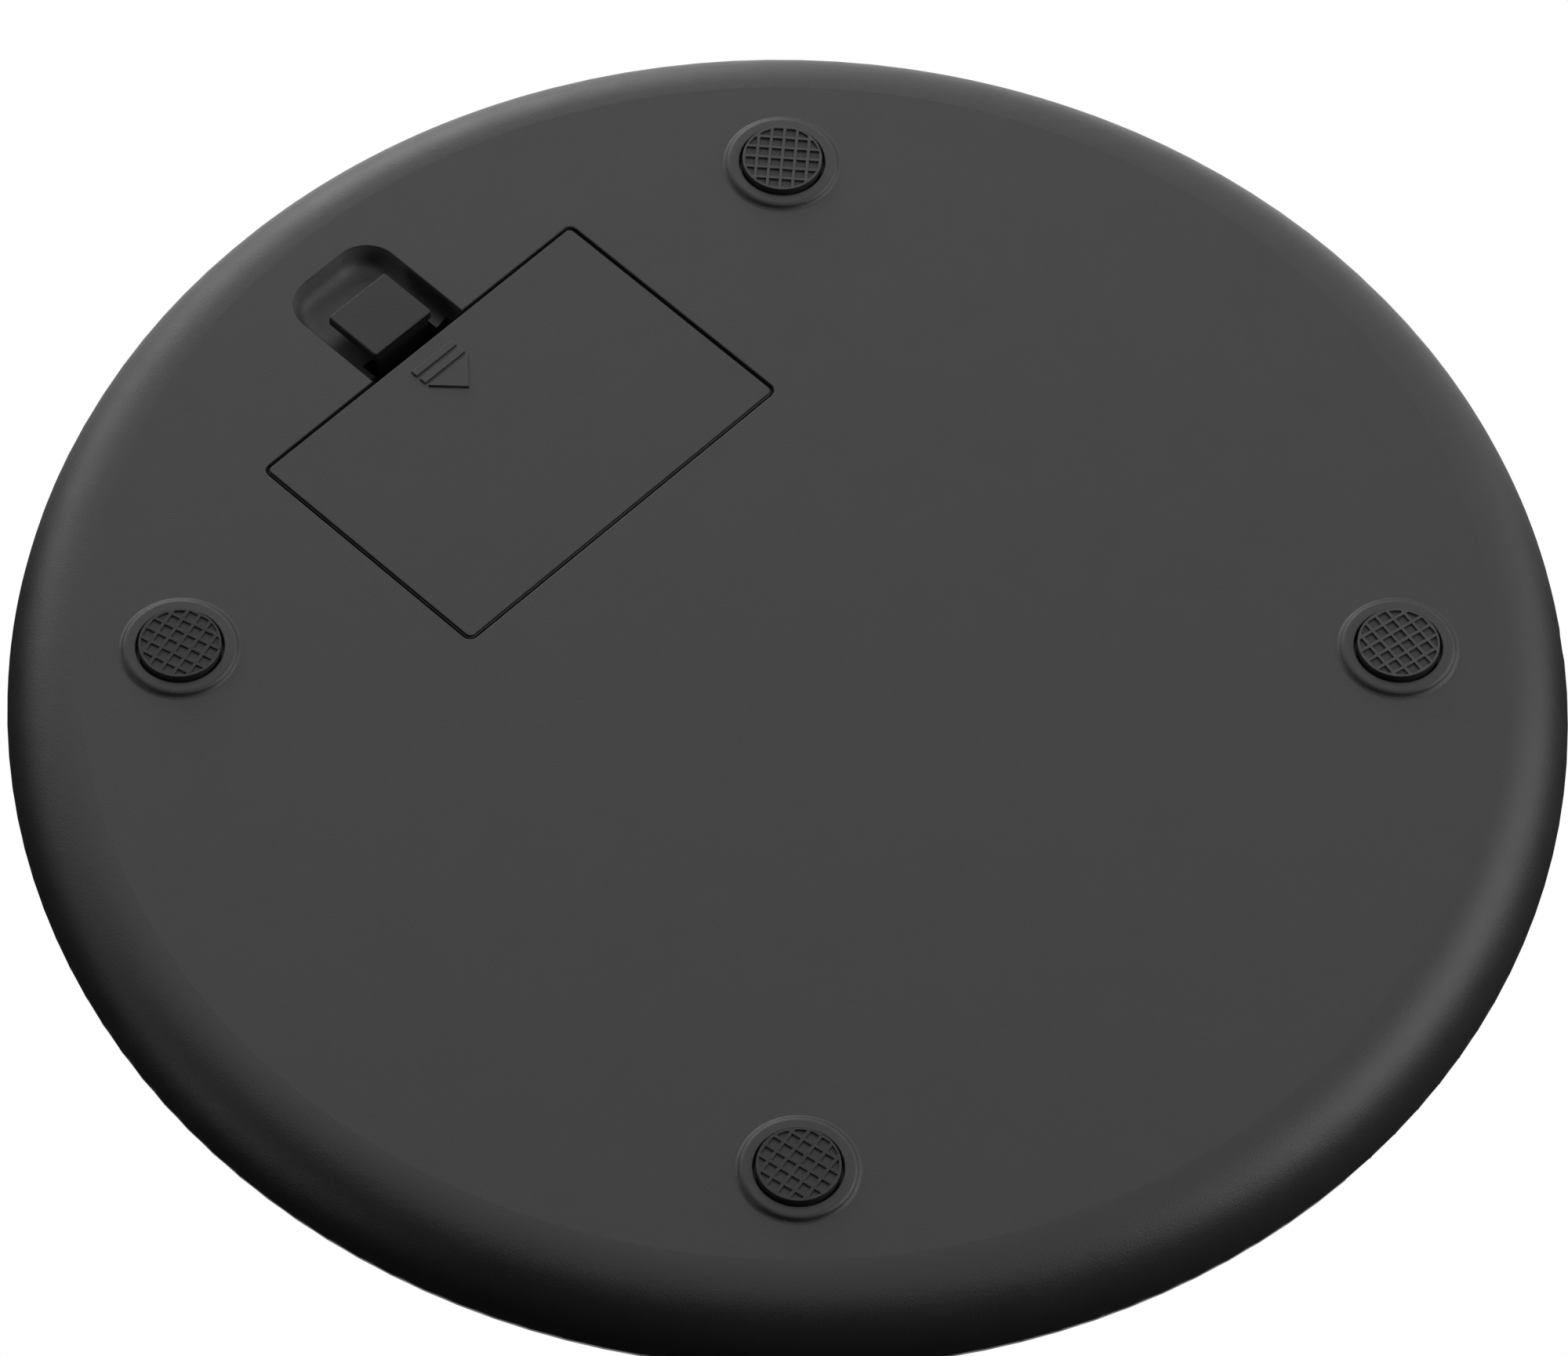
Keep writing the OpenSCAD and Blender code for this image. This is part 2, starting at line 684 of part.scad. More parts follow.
module foot_pad(i) {
    turn = waffle_turns[i - 1];
    cells = ceil(pad_d / waffle_pitch / 2);
    hole = waffle_pitch - waffle_rib;
    color("#2c2c2c") at_foot(i) rotate(-45 - 90 * (i - 1) + turn) difference() {
        cylinder(d = pad_d, h = pad_t);
        intersection() {
            translate([0, 0, -1]) cylinder(d = pad_d - 1, h = 1 + waffle_depth);
            for (x = [-cells : cells - 1], y = [-cells : cells - 1])
                translate([(x + 0.5) * waffle_pitch - hole / 2, (y + 0.5) * waffle_pitch - hole / 2, -1])
                    cube([hole, hole, 1 + waffle_depth]);
        }
    }
}

module foot_plunger(i) {
    color("#1e1e1e") at_foot(i) {
        translate([0, 0, pad_t]) cylinder(d = plunger_d, h = flange_z - pad_t + eps);
        translate([0, 0, flange_z]) cylinder(d = flange_d, h = flange_t);
        translate([0, 0, flange_z + flange_t - eps])
            cylinder(d = plunger_button_d, h = cell_z - flange_z - flange_t + eps);
    }
}

// A steel plate with a tongue that the foot bears on
module load_cell(i) {
    slot = 1.6;
    tongue_w = 12;
    tongue_l = 22;
    color("#b9bcc0") at_foot(i) difference() {
        translate([0, 0, cell_z]) rounded_slab(cell_plate_w, cell_plate_w, cell_plate_t, 3);
        for (s = [-1, 1]) translate([-tongue_l / 2, s * (tongue_w + slot) / 2 - slot / 2, cell_z - 1])
            cube([tongue_l, slot, cell_plate_t + 2]);
        translate([tongue_l / 2 - slot, -tongue_w / 2 - slot, cell_z - 1])
            cube([slot, tongue_w + 2 * slot, cell_plate_t + 2]);
        at_cell_screws() translate([0, 0, cell_z - 1]) cylinder(d = screw_hole_d, h = cell_plate_t + 2);
    }
}

module cell_clamp(i) {
    color("#d9d9d4") at_foot(i) difference() {
        translate([0, 0, clamp_z]) rounded_slab(clamp_w, clamp_w, clamp_t, 3);
        translate([0, 0, clamp_z - eps]) rounded_slab(cell_opening, cell_opening, clamp_t + 2 * eps, 1.5);
        block([-clamp_w, -lead_w / 2 - 0.4, clamp_z - eps], [0, lead_w / 2 + 0.4, clamp_z + clamp_t + eps]);
        at_cell_screws() translate([0, 0, clamp_z - 1]) cylinder(d = screw_hole_d, h = clamp_t + 2);
    }
}

module strain_gauge(i) {
    color("#c8862c") at_foot(i) translate([-7.5, 0, clamp_z]) rounded_slab(4.5, 9, gauge_t, 0.5);
}

module cell_lead(i) {
    run = lead_start_r - foot_r;
    half = lead_w / 2 - 2 * joint_slim;
    top = clamp_z + gauge_t + lead_t;
    color("#d0d0cc") {
        translate([0, 0, floor_z]) linear_extrude(lead_t) ribbon(route_of(i), lead_w);
        at_foot(i) {
            block([run - lead_t / 2, -half, floor_z + eps], [run + lead_t / 2, half, top]);
            block([run, -half, clamp_z + gauge_t], [-6.5, half, top]);
        }
        lead_end(route_of(i)[len(route_of(i)) - 1], lead_w, floor_z + eps, board_z - socket_size[2]);
    }
}

// A pan-head screw that points down, with a cross in its head
module screw(d, head_d, head_t, length) {
    translate([0, 0, -length]) cylinder(d = d, h = length + eps);
    difference() {
        cylinder(d = head_d, h = head_t);
        for (a = [0, 90]) rotate(a) translate([-head_d * 0.3, -0.25, head_t * 0.4])
            cube([head_d * 0.6, 0.5, head_t]);
    }
}

module cell_screws() {
    color("#c9ccd0") for (i = [1 : 4]) at_foot(i) at_cell_screws()
        translate([0, 0, clamp_z + clamp_t])
            screw(screw_d, screw_head_d, screw_head_t, clamp_t + cell_plate_t + 3);
}

// ---- Display and circuit board ----

module main_board() {
    color("#1f6b3a") difference() {
        translate([0, lcd_y, board_z]) rounded_slab(board_w, board_h, board_t, 2);
        at_board_screws() translate([0, 0, board_z - 1]) cylinder(d = board_screw_d + 0.4, h = board_t + 2);
    }
}

module board_chip() {
    dome_r = 9;
    dome_w = 5;
    drop = sqrt(dome_r * dome_r - dome_w * dome_w);
    color("#141414") translate([8, lcd_y + 3, board_z]) intersection() {
        translate([0, 0, drop]) sphere(r = dome_r);
        translate([0, 0, -5]) cylinder(r = dome_w + 1, h = 5);
    }
}

module board_parts() {
    color("#b8a271") {
        for (x = [-14, -9, -4]) translate([x, lcd_y + 8, board_z - 1.2]) block([-1, -1.6, 0], [1, 1.6, 1.2]);
        for (y = [-2, 2, 6])
            translate([22, lcd_y + y, board_z - 0.9]) block([-1.6, -0.8, 0], [1.6, 0.8, 0.9]);
        translate([-18, lcd_y - 4, board_z - 3]) cylinder(d = 5, h = 3);
        translate([-28, lcd_y + 2, board_z - 2.6]) rounded_slab(10, 4, 2.6, 1.9);
    }
}

module lead_sockets() {
    color("#f0efe8") for (k = [-2 : 2]) translate([k * socket_pitch, socket_y, board_z - socket_size[2]])
        linear_extrude(socket_size[2]) square([socket_size[0], socket_size[1]], center = true);
}

module board_screws() {
    color("#c9ccd0") at_board_screws() translate([0, 0, board_z]) rotate([180, 0, 0])
        screw(board_screw_d, board_head_d, 1.4, board_t + 4);
}

module lcd_frame() {
    color("#26262a") difference() {
        translate([0, lcd_y, frame_z]) rounded_slab(board_w, board_h, print_z - frame_z, 2);
        translate([0, lcd_y, 0]) {
            block([-lcd_w / 2 - lcd_gap, -lcd_h / 2 - lcd_gap, lcd_z],
                [lcd_w / 2 + lcd_gap, lcd_h / 2 + lcd_gap, print_z + 1]);
            block([-light_w / 2, -light_h / 2, frame_z - 1], [light_w / 2, light_h / 2, lcd_z + 1]);
            for (s = [-1, 1]) translate([0, s * zebra_y, 0])
                block([-zebra_l / 2, -zebra_w / 2 - 0.1, frame_z - 1],
                    [zebra_l / 2, zebra_w / 2 + 0.1, lcd_z + 1]);
        }
        at_board_screws() translate([0, 0, frame_z - 1]) cylinder(d = board_screw_d + 0.1, h = 6);
    }
}

module lcd_panel() {
    color("#7f8c7a") translate([0, lcd_y, lcd_z])
        block([-lcd_w / 2, -lcd_h / 2, 0], [lcd_w / 2, lcd_h / 2, lcd_t]);
}

module light_panel() {
    color("#f4f6f8") translate([0, lcd_y, frame_z])
        block([lcd_gap - light_w / 2, lcd_gap - light_h / 2, 0],
            [light_w / 2 - lcd_gap, light_h / 2 - lcd_gap, lcd_z - frame_z]);
}

module zebra_strips() {
    color("#5b5b60") for (s = [-1, 1]) translate([0, lcd_y + s * zebra_y, frame_z])
        block([0.2 - zebra_l / 2, -zebra_w / 2, 0], [zebra_l / 2 - 0.2, zebra_w / 2, lcd_z - frame_z]);
}

// One bar of a digit, with pointed ends, about the origin and along X
module digit_bar(l, t) {
    polygon([[-l / 2, 0], [-l / 2 + t / 2, t / 2], [l / 2 - t / 2, t / 2],
        [l / 2, 0], [l / 2 - t / 2, -t / 2], [-l / 2 + t / 2, -t / 2]]);
}

// A zero of six bars, with its lower left corner at the origin
module digit_zero(h) {
    t = h * 0.12;
    w = h * 0.5;
    reach = h / 2 - t / 2;
    for (y = [t / 2, h - t / 2]) translate([w / 2, y]) digit_bar(w - t - 0.4, t);
    for (x = [t / 2, w - t / 2], y = [t / 2 + reach / 2, t / 2 + reach * 1.5])
        translate([x, y]) rotate(90) digit_bar(reach - 0.4, t);
}

module lcd_segments() {
    advance = digit_h * 0.72;
    dot = digit_h * 0.12;
    color("#15181a") translate([0, lcd_y - digit_h / 2, lcd_z + lcd_t]) linear_extrude(0.1) {
        translate([-advance - dot, 0]) digit_zero(digit_h);
        translate([advance - digit_h * 0.5 + dot, 0]) digit_zero(digit_h);
        patch([-dot / 2 - 1, 0], [dot / 2 - 1, dot]);
    }
}

// ---- Batteries ----

function cell_x(i) = (i - 2.5) * cell_pitch;
function cell_up(i) = i % 2 == 1;
battery_axis_z = battery_z + cell_d / 2;
contact_inner_y = bay_inner_y - plate_t;
contact_outer_y = contact_y + plate_t;

// A cell that starts at its flat end and runs along Y, towards +Y or -Y
module battery(i) {
    base = cell_up(i) ? contact_inner_y - cell_l : contact_outer_y + cell_l;
    color("#5d6b78") translate([cell_x(i), base, battery_axis_z])
        rotate([cell_up(i) ? -90 : 90, 0, 0]) {
            cylinder(d = cell_d, h = cell_l - 1);
            translate([0, 0, cell_l - 1 - eps]) cylinder(d = 5.5, h = 1 + eps);
        }
}

// A tapering coil of wire along Z, swept ring by ring
module coil(length, base_r, tip_r, turns) {
    per_turn = 18;
    sides = 8;
    steps = turns * per_turn;
    rise = length - spring_wire;
    points = [
        for (i = [0 : steps], k = [0 : sides - 1])
            let (a = i * 360 / per_turn, b = k * 360 / sides, f = i / steps)
                let (r = base_r + (tip_r - base_r) * f + cos(b) * spring_wire / 2)
                    [r * cos(a), r * sin(a), spring_wire / 2 + rise * f + sin(b) * spring_wire / 2]
    ];
    walls = [
        for (i = [0 : steps - 1], k = [0 : sides - 1])
            let (n = (k + 1) % sides)
                [i * sides + k, i * sides + n, (i + 1) * sides + n, (i + 1) * sides + k]
    ];
    ends = [[for (k = [sides - 1 : -1 : 0]) k], [for (k = [0 : sides - 1]) steps * sides + k]];
    polyhedron(points, concat(walls, ends));
}

module battery_springs() {
    color("#cfd2d6") for (i = [1 : 4]) {
        seat = cell_up(i) ? contact_outer_y : contact_inner_y;
        translate([cell_x(i), seat, battery_axis_z]) rotate([cell_up(i) ? -90 : 90, 0, 0])
            coil(spring_l, 4.6, 3, 3);
    }
}

// Contact plates: pairs joined at the far wall, and a pair and two single ones at the near wall
module battery_plates() {
    half = 5.5;
    low = battery_axis_z - half;
    high = battery_axis_z + half;
    color("#cfd2d6") {
        for (s = [-1, 1])
            block([s * cell_pitch - cell_pitch / 2 - half, contact_y, low],
                [s * cell_pitch + cell_pitch / 2 + half, contact_outer_y, high]);
        block([-cell_pitch / 2 - half, contact_inner_y, low], [cell_pitch / 2 + half, bay_inner_y, high]);
        for (s = [-1, 1]) translate([s * battery_lead_x, 0, 0]) {
            block([-half, contact_inner_y, low], [half, bay_inner_y, high]);
            block([-1.5, bay_inner_y - eps, plate_tag_z], [1.5, battery_lead_y, plate_tag_z + plate_t]);
        }
    }
}

module battery_lead(route) {
    translate([0, 0, floor_z]) linear_extrude(wire_d) ribbon(route, wire_d);
    lead_end(route[0], wire_d, floor_z + eps, plate_tag_z);
    lead_end(route[len(route) - 1], wire_d, floor_z + eps, board_z - socket_size[2]);
}

module battery_lead_red() {
    color("#b3201c") battery_lead(mirrored(route_battery));
}

module battery_lead_black() {
    color("#161616") battery_lead(route_battery);
}

// ---- Unit button ----

module unit_button() {
    color("#d8d8d6") translate([side_x, button_y, 0]) {
        translate([0, 0, shelf_z - 1.4]) cylinder(d = button_d, h = button_flange_z - shelf_z + 1.4 + eps);
        intersection() {
            translate([0, 0, button_flange_z]) cylinder(d = button_flange_d, h = 1.1);
            block([0.3 - pocket_w / 2, -button_flange_d, button_flange_z],
                [pocket_w / 2 - 0.3, button_flange_d, button_flange_z + 1.1]);
        }
        translate([0, 0, button_flange_z + 1.1 - eps]) cylinder(d = 2.6, h = 1.4 + eps);
    }
}

module unit_switch() {
    color("#2a2a2d") translate([side_x, button_y, switch_z]) {
        cylinder(d = 3.2, h = 0.6 + eps);
        block([-3, -3, 0.6], [3, 3, 4]);
    }
}

module unit_board() {
    color("#1f6b3a") difference() {
        translate([side_x, button_y, unit_board_z])
            rounded_slab(unit_board_size[0], unit_board_size[1], unit_board_t, 1);
        for (s = [-1, 1]) translate([side_x, button_y + s * unit_post_off, unit_board_z - 1])
            cylinder(d = 2.1, h = unit_board_t + 2);
    }
}

module unit_screws() {
    color("#c9ccd0") for (s = [-1, 1])
        translate([side_x, button_y + s * unit_post_off, unit_board_z + unit_board_t])
            screw(1.7, 3.4, 1.1, unit_board_t + 4);
}

module unit_lead() {
    top = unit_board_z + unit_board_t;
    start = route_unit[0];
    color("#d0d0cc") {
        translate([0, 0, floor_z]) linear_extrude(wire_d) ribbon(route_unit, wire_d);
        lead_end(start, wire_d, floor_z + eps, top + 0.9);
        translate([side_x, 0, 0])
            block([-wire_d / 2, button_y + unit_board_size[1] / 2 - 1, top], [wire_d / 2, start[1], top + 1]);
        lead_end(route_unit[len(route_unit) - 1], wire_d, floor_z + eps, board_z);
    }
}

platform_glass();
glass_print();
platform_tape();
cushion_pads();
bottom_tray();
battery_door();
door_latch();
foot_pad(1);  // foot_pad_1
foot_pad(2);  // foot_pad_2
foot_pad(3);  // foot_pad_3
foot_pad(4);  // foot_pad_4
foot_plunger(1);  // foot_plunger_1
foot_plunger(2);  // foot_plunger_2
foot_plunger(3);  // foot_plunger_3
foot_plunger(4);  // foot_plunger_4
load_cell(1);  // load_cell_1
load_cell(2);  // load_cell_2
load_cell(3);  // load_cell_3
load_cell(4);  // load_cell_4
cell_clamp(1);  // cell_clamp_1
cell_clamp(2);  // cell_clamp_2
cell_clamp(3);  // cell_clamp_3
cell_clamp(4);  // cell_clamp_4
strain_gauge(1);  // strain_gauge_1
strain_gauge(2);  // strain_gauge_2
strain_gauge(3);  // strain_gauge_3
strain_gauge(4);  // strain_gauge_4
cell_lead(1);  // cell_lead_1
cell_lead(2);  // cell_lead_2
cell_lead(3);  // cell_lead_3
cell_lead(4);  // cell_lead_4
cell_screws();
main_board();
board_chip();
board_parts();
lead_sockets();
board_screws();
lcd_frame();
lcd_panel();
lcd_segments();
zebra_strips();
light_panel();
battery(1);  // battery_1
battery(2);  // battery_2
battery(3);  // battery_3
battery(4);  // battery_4
battery_springs();
battery_plates();
battery_lead_red();
battery_lead_black();
unit_button();
unit_switch();
unit_board();
unit_screws();
unit_lead();
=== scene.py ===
"""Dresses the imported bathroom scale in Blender: softened edges, materials and a plain studio."""

import json
import math

import bmesh
import bpy
from bpy.props import FloatProperty, FloatVectorProperty, PointerProperty
from mathutils import Matrix, Vector


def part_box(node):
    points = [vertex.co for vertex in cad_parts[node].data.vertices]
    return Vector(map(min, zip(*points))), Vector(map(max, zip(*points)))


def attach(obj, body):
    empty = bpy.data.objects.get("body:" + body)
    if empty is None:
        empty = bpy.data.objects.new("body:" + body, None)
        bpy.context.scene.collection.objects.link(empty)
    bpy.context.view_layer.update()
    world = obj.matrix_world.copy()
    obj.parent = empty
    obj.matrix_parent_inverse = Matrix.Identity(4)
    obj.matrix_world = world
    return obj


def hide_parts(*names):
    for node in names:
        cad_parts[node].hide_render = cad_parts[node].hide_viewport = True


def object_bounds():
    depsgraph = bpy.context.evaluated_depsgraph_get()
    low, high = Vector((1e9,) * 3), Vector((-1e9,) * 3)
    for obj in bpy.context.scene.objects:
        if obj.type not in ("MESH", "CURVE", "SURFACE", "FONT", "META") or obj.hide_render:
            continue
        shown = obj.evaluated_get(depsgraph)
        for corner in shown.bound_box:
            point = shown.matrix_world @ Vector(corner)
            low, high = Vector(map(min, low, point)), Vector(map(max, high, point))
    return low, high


bl_info = {
    "name": "Bathroom scale dressing",
    "version": (1, 0, 0),
    "blender": (4, 5, 0),
    "location": "3D View > Sidebar > Bathroom scale",
    "description": "Softened edges, materials and studio for a round bathroom scale",
    "category": "Object",
}

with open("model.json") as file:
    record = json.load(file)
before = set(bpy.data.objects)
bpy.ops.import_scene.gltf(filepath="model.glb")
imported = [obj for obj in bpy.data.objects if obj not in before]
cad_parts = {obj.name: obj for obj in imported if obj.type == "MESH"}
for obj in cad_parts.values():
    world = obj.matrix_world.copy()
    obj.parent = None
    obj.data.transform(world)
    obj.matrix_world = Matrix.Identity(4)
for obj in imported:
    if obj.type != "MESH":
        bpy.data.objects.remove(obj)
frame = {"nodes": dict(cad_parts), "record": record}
CAD_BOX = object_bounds()
NODES = frame["nodes"]
SLOTS = {part["node"]: part["material_slot"] for part in frame["record"]["subparts"]}
MM = 0.001

# Heights in the CAD model that the edges are found by. The arrow stands proud of the door's
# face, and the step round the door lies deeper than the face.
ARROW_RISE = 0.5 * MM
UNDERSIDE_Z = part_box("battery_door")[0].z + ARROW_RISE
DOOR_STEP = 0.7 * MM
PAD_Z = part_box("foot_pad_1")[0].z
FINGER_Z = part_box("door_latch")[0].z

# The finger recess runs from the door's low edge towards the rim, and its walls start above
# the round on its edge
RECESS_HALF = 13.6 * MM
RECESS_LENGTH = 29.6 * MM
RECESS_MARGIN = 0.5 * MM
RECESS_ROUND = 0.3 * MM

# How much painted light lightens the recess's walls against the tray, and the latch's specular level
RECESS_PAINTED_LIGHT = 3.6
LATCH_SHINE = 0.29

# Heights above the floor at which the painted light on the pads' crests is gone, leaving painted shade in
# their hollows, and is at its fullest
CREST_LIGHT_GONE = 0.3 * MM
CREST_LIGHT_FULL = 0.05 * MM

# How far the fired print's copy reaches into the glass
PRINT_DEPTH = 0.02 * MM

# Faces closer than the first are one flat, an edge sharper than the second is rounded,
# and faces closer than the third are shaded as one surface
FLAT_ANGLE = math.radians(0.2)
SHARP_ANGLE = math.radians(50)
SMOOTH_ANGLE = math.radians(35)

# Distances below which points are welded, share a key, end a sliver and lie at one height
WELD = 0.0001 * MM
KEY_STEP = 0.0005 * MM
SLIVER = 0.001 * MM
SAME_HEIGHT = 0.01 * MM

# The slow patches of tone and of gloss on every plain finish, and how far the gloss sways.
# A finish stays on one side of a roughness of 0.27, because one that crosses it renders speckled.
MOTTLE_MM = 9.0
GLOSS_MM = 5.4
GLOSS_SWAY = 0.03

# The studio below the floor, in metres
LAMP_DISTANCE = 1.6
SOFTBOX_SIZE = 0.6
CURTAIN_RADIUS = 1.8
SHELF_RADIUS = 1.5
SHELF_GAP = 0.02 * MM
SHELF_DROP = 2.2 * MM

# The shelf's compass turn in degrees, how far it reaches to each side of it, and the cosines
# of the angles from it at which the cloth is gone and is dense
SHELF_TURN = 137
SHELF_REACH = 156
SHELF_THIN = -0.85
SHELF_DENSE = -0.05
ARC_STEP = 3

# Each softbox: its compass turn and its angle below the floor in degrees, and its power in watts
SOFTBOXES = (
    ("key_low_softbox", -60, 8, 4.3),
    ("key_high_softbox", -60, 44, 1.35),
    ("back_softbox", -85, 12, 2.5),
    ("middle_softbox", -30, 35, 1.4),
    ("side_low_softbox", 30, 15, 2.0),
    ("side_high_softbox", 30, 38, 2.7),
    ("far_side_softbox", 60, 30, 6.0),
    ("near_softbox", -158, 8, 2.0),
)

# Each curtain: its first and last compass turn in degrees, and its depth in metres
CURTAINS = (
    ("deep_curtain", (105, 225), 2.3),
    ("low_curtain", (45, 105), 1.1),
)

# Under the overhead light, this glow brings the lit floor just up to white
FLOOR_GLOW = 0.74
OVERHEAD_ANGLE = math.radians(30)


# ---- Colour and shader helpers ----


def linear(hex_colour):
    """Turns an sRGB hex colour into linear red, green, blue and alpha."""
    values = [int(hex_colour[i : i + 2], 16) / 255 for i in (1, 3, 5)]
    return [v / 12.92 if v <= 0.04045 else ((v + 0.055) / 1.055) ** 2.4 for v in values] + [1.0]


def add_node(tree, kind, inputs=None, links=None, **settings):
    """Adds a shader node with its settings and input values, and links its inputs."""
    node = tree.nodes.new(kind)
    for name, value in settings.items():
        setattr(node, name, value)
    for socket, value in (inputs or {}).items():
        node.inputs[socket].default_value = value
    for socket, source in (links or {}).items():
        tree.links.new(source, node.inputs[socket])
    return node


def new_material(name):
    """An empty node material with an output, and its tree."""
    material = bpy.data.materials.new(name)
    material.use_nodes = True
    material.node_tree.nodes.clear()
    return material, material.node_tree


def finish_surface(tree, shader):
    """Links a shader to the material's output."""
    add_node(tree, "ShaderNodeOutputMaterial", links={"Surface": shader.outputs[0]})


def drift(tree, size_mm, low, high, detail=3.0):
    """A value that drifts from low to high in soft lumps about size_mm across."""
    place = add_node(tree, "ShaderNodeTexCoord")
    lumps = add_node(
        tree,
        "ShaderNodeTexNoise",
        inputs={"Scale": 1 / (size_mm * MM), "Detail": detail, "Roughness": 0.55},
        links={"Vector": place.outputs["Object"]},
    )
    # The noise stays near its middle, so that part of it spans the whole range
    value = add_node(
        tree,
        "ShaderNodeMapRange",
        inputs={"From Min": 0.3, "From Max": 0.7, "To Min": low, "To Max": high},
        links={"Value": lumps.outputs["Fac"]},
    )
    return value.outputs["Result"]


def grain_relief(tree, grain_mm, depth_mm, detail=2.0, roughness=0.55):
    """The normals of a fine grain in relief, with pebbles about grain_mm across."""
    place = add_node(tree, "ShaderNodeTexCoord")
    pebbles = add_node(
        tree,
        "ShaderNodeTexNoise",
        inputs={"Scale": 1 / (grain_mm * MM), "Detail": detail, "Roughness": roughness},
        links={"Vector": place.outputs["Object"]},
    )
    relief = add_node(
        tree,
        "ShaderNodeBump",
        inputs={"Strength": 1.0, "Distance": depth_mm * MM},
        links={"Height": pebbles.outputs["Fac"]},
    )
    return relief.outputs["Normal"]


def shade_of(tree, colour, factor, darker, lighter):
    """A colour that wanders between a darker and a lighter shade of itself."""
    tones = [[c * k for c in colour[:3]] + [1.0] for k in (darker, lighter)]
    mix = add_node(tree, "ShaderNodeMix", links={"Factor": factor}, data_type="RGBA")
    mix.inputs["A"].default_value, mix.inputs["B"].default_value = tones
    return mix.outputs["Result"]


def grained(name, hex_colour, rough, grain_mm, depth_mm, mottle=0.06, **surface):
    """A solid material with a fine grain in relief, and a slow drift in tone and gloss."""
    material, tree = new_material(name)
    tone = drift(tree, MOTTLE_MM, 0.0, 1.0)
    shader = add_node(
        tree,
        "ShaderNodeBsdfPrincipled",
        inputs=surface,
        links={
            "Base Color": shade_of(tree, linear(hex_colour), tone, 1 - mottle, 1 + mottle),
            "Roughness": drift(tree, GLOSS_MM, rough - GLOSS_SWAY, rough + GLOSS_SWAY),
            "Normal": grain_relief(tree, grain_mm, depth_mm),
        },
    )
    finish_surface(tree, shader)
    return material


# ---- Materials: what each real one is, how it was made, and what that gives the eye ----


def moulded_abs(colour, recess_light=1.0, shine=0.35):
    """Black ABS moulded in a spark-eroded tool: a dull satin skin with a fine pebbled grain.

    The recess's walls are lightened with painted light by the factor given after the colour, and shine is
    the specular level.
    """
    material, tree = new_material("moulded_abs_spark_eroded")
    tone = shade_of(tree, list(colour), drift(tree, 14.0, 0.0, 1.0), 0.96, 1.04)
    if recess_light != 1.0:
        tone = painted_recess_light(tree, tone, recess_light)
    shader = add_node(
        tree,
        "ShaderNodeBsdfPrincipled",
        inputs={"IOR": 1.53, "Specular IOR Level": shine},
        links={
            "Base Color": tone,
            "Roughness": drift(tree, 8.0, 0.34, 0.4),
            # The real grain is about 0.1 mm: it is drawn at 0.4 mm, because a finer one doesn't show
            "Normal": grain_relief(tree, 0.4, 0.09, detail=3.0, roughness=0.7),
        },
    )
    finish_surface(tree, shader)
    return material


def painted_recess_light(tree, tone, shade):
    """Paints light on the walls of the finger recess, the more the steeper they are.

    Little of the studio's light gets into the recess, so its walls would sink into black.
    """
    coordinates = add_node(tree, "ShaderNodeTexCoord")
    place = add_node(tree, "ShaderNodeSeparateXYZ", links={"Vector": coordinates.outputs["Object"]})
    facing = add_node(tree, "ShaderNodeSeparateXYZ", links={"Vector": coordinates.outputs["Normal"]})
    steep = add_node(
        tree,
        "ShaderNodeMapRange",
        inputs={"From Min": -1.0, "From Max": 0.0, "To Min": 0.0, "To Max": 1.0},
        links={"Value": facing.outputs["Z"]},
    )
    mask = steep.outputs["Result"]
    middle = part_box("battery_door")[0].y - RECESS_LENGTH / 2
    for axis, operation, values in (
        ("Y", "COMPARE", {1: middle, 2: RECESS_LENGTH / 2 + RECESS_MARGIN}),
        ("X", "COMPARE", {1: 0.0, 2: RECESS_HALF}),
        ("Z", "GREATER_THAN", {1: UNDERSIDE_Z + RECESS_ROUND}),
    ):
        links = {0: place.outputs[axis]}
        inside = add_node(tree, "ShaderNodeMath", inputs=values, links=links, operation=operation)
        links = {0: mask, 1: inside.outputs["Value"]}
        mask = add_node(tree, "ShaderNodeMath", links=links, operation="MULTIPLY").outputs["Value"]
    lighter = add_node(
        tree, "ShaderNodeVectorMath", inputs={"Scale": shade}, links={0: tone}, operation="SCALE"
    )
    mix = add_node(
        tree,
        "ShaderNodeMix",
        links={"Factor": mask, "A": tone, "B": lighter.outputs["Vector"]},
        data_type="RGBA",
    )
    return mix.outputs["Result"]


def moulded_rubber(colour):
    """Black rubber moulded in a rough tool: dull, with painted light on the crests of its waffle and
    painted shade in its hollows.
    """
    material, tree = new_material("moulded_rubber_dull")
    place = add_node(tree, "ShaderNodeTexCoord")
    height = add_node(tree, "ShaderNodeSeparateXYZ", links={"Vector": place.outputs["Object"]})
    crest = add_node(
        tree,
        "ShaderNodeMapRange",
        inputs={"From Min": CREST_LIGHT_GONE, "From Max": CREST_LIGHT_FULL, "To Min": 0.0, "To Max": 1.0},
        links={"Value": height.outputs["Z"]},
    )
    # Painted light on the waffle's crests and painted shade in its hollows, uneven in slow patches
    crest_light = add_node(
        tree,
        "ShaderNodeMath",
        links={0: crest.outputs["Result"], 1: drift(tree, 0.5, 0.5, 1.0, detail=4.0)},
        operation="MULTIPLY",
    )
    shader = add_node(
        tree,
        "ShaderNodeBsdfPrincipled",
        inputs={"IOR": 1.52, "Roughness": 0.62},
        links={
            "Base Color": shade_of(tree, list(colour), crest_light.outputs["Value"], 0.5, 2.2),
            "Normal": grain_relief(tree, 0.4, 0.05, detail=3.0),
        },
    )
    finish_surface(tree, shader)
    return material


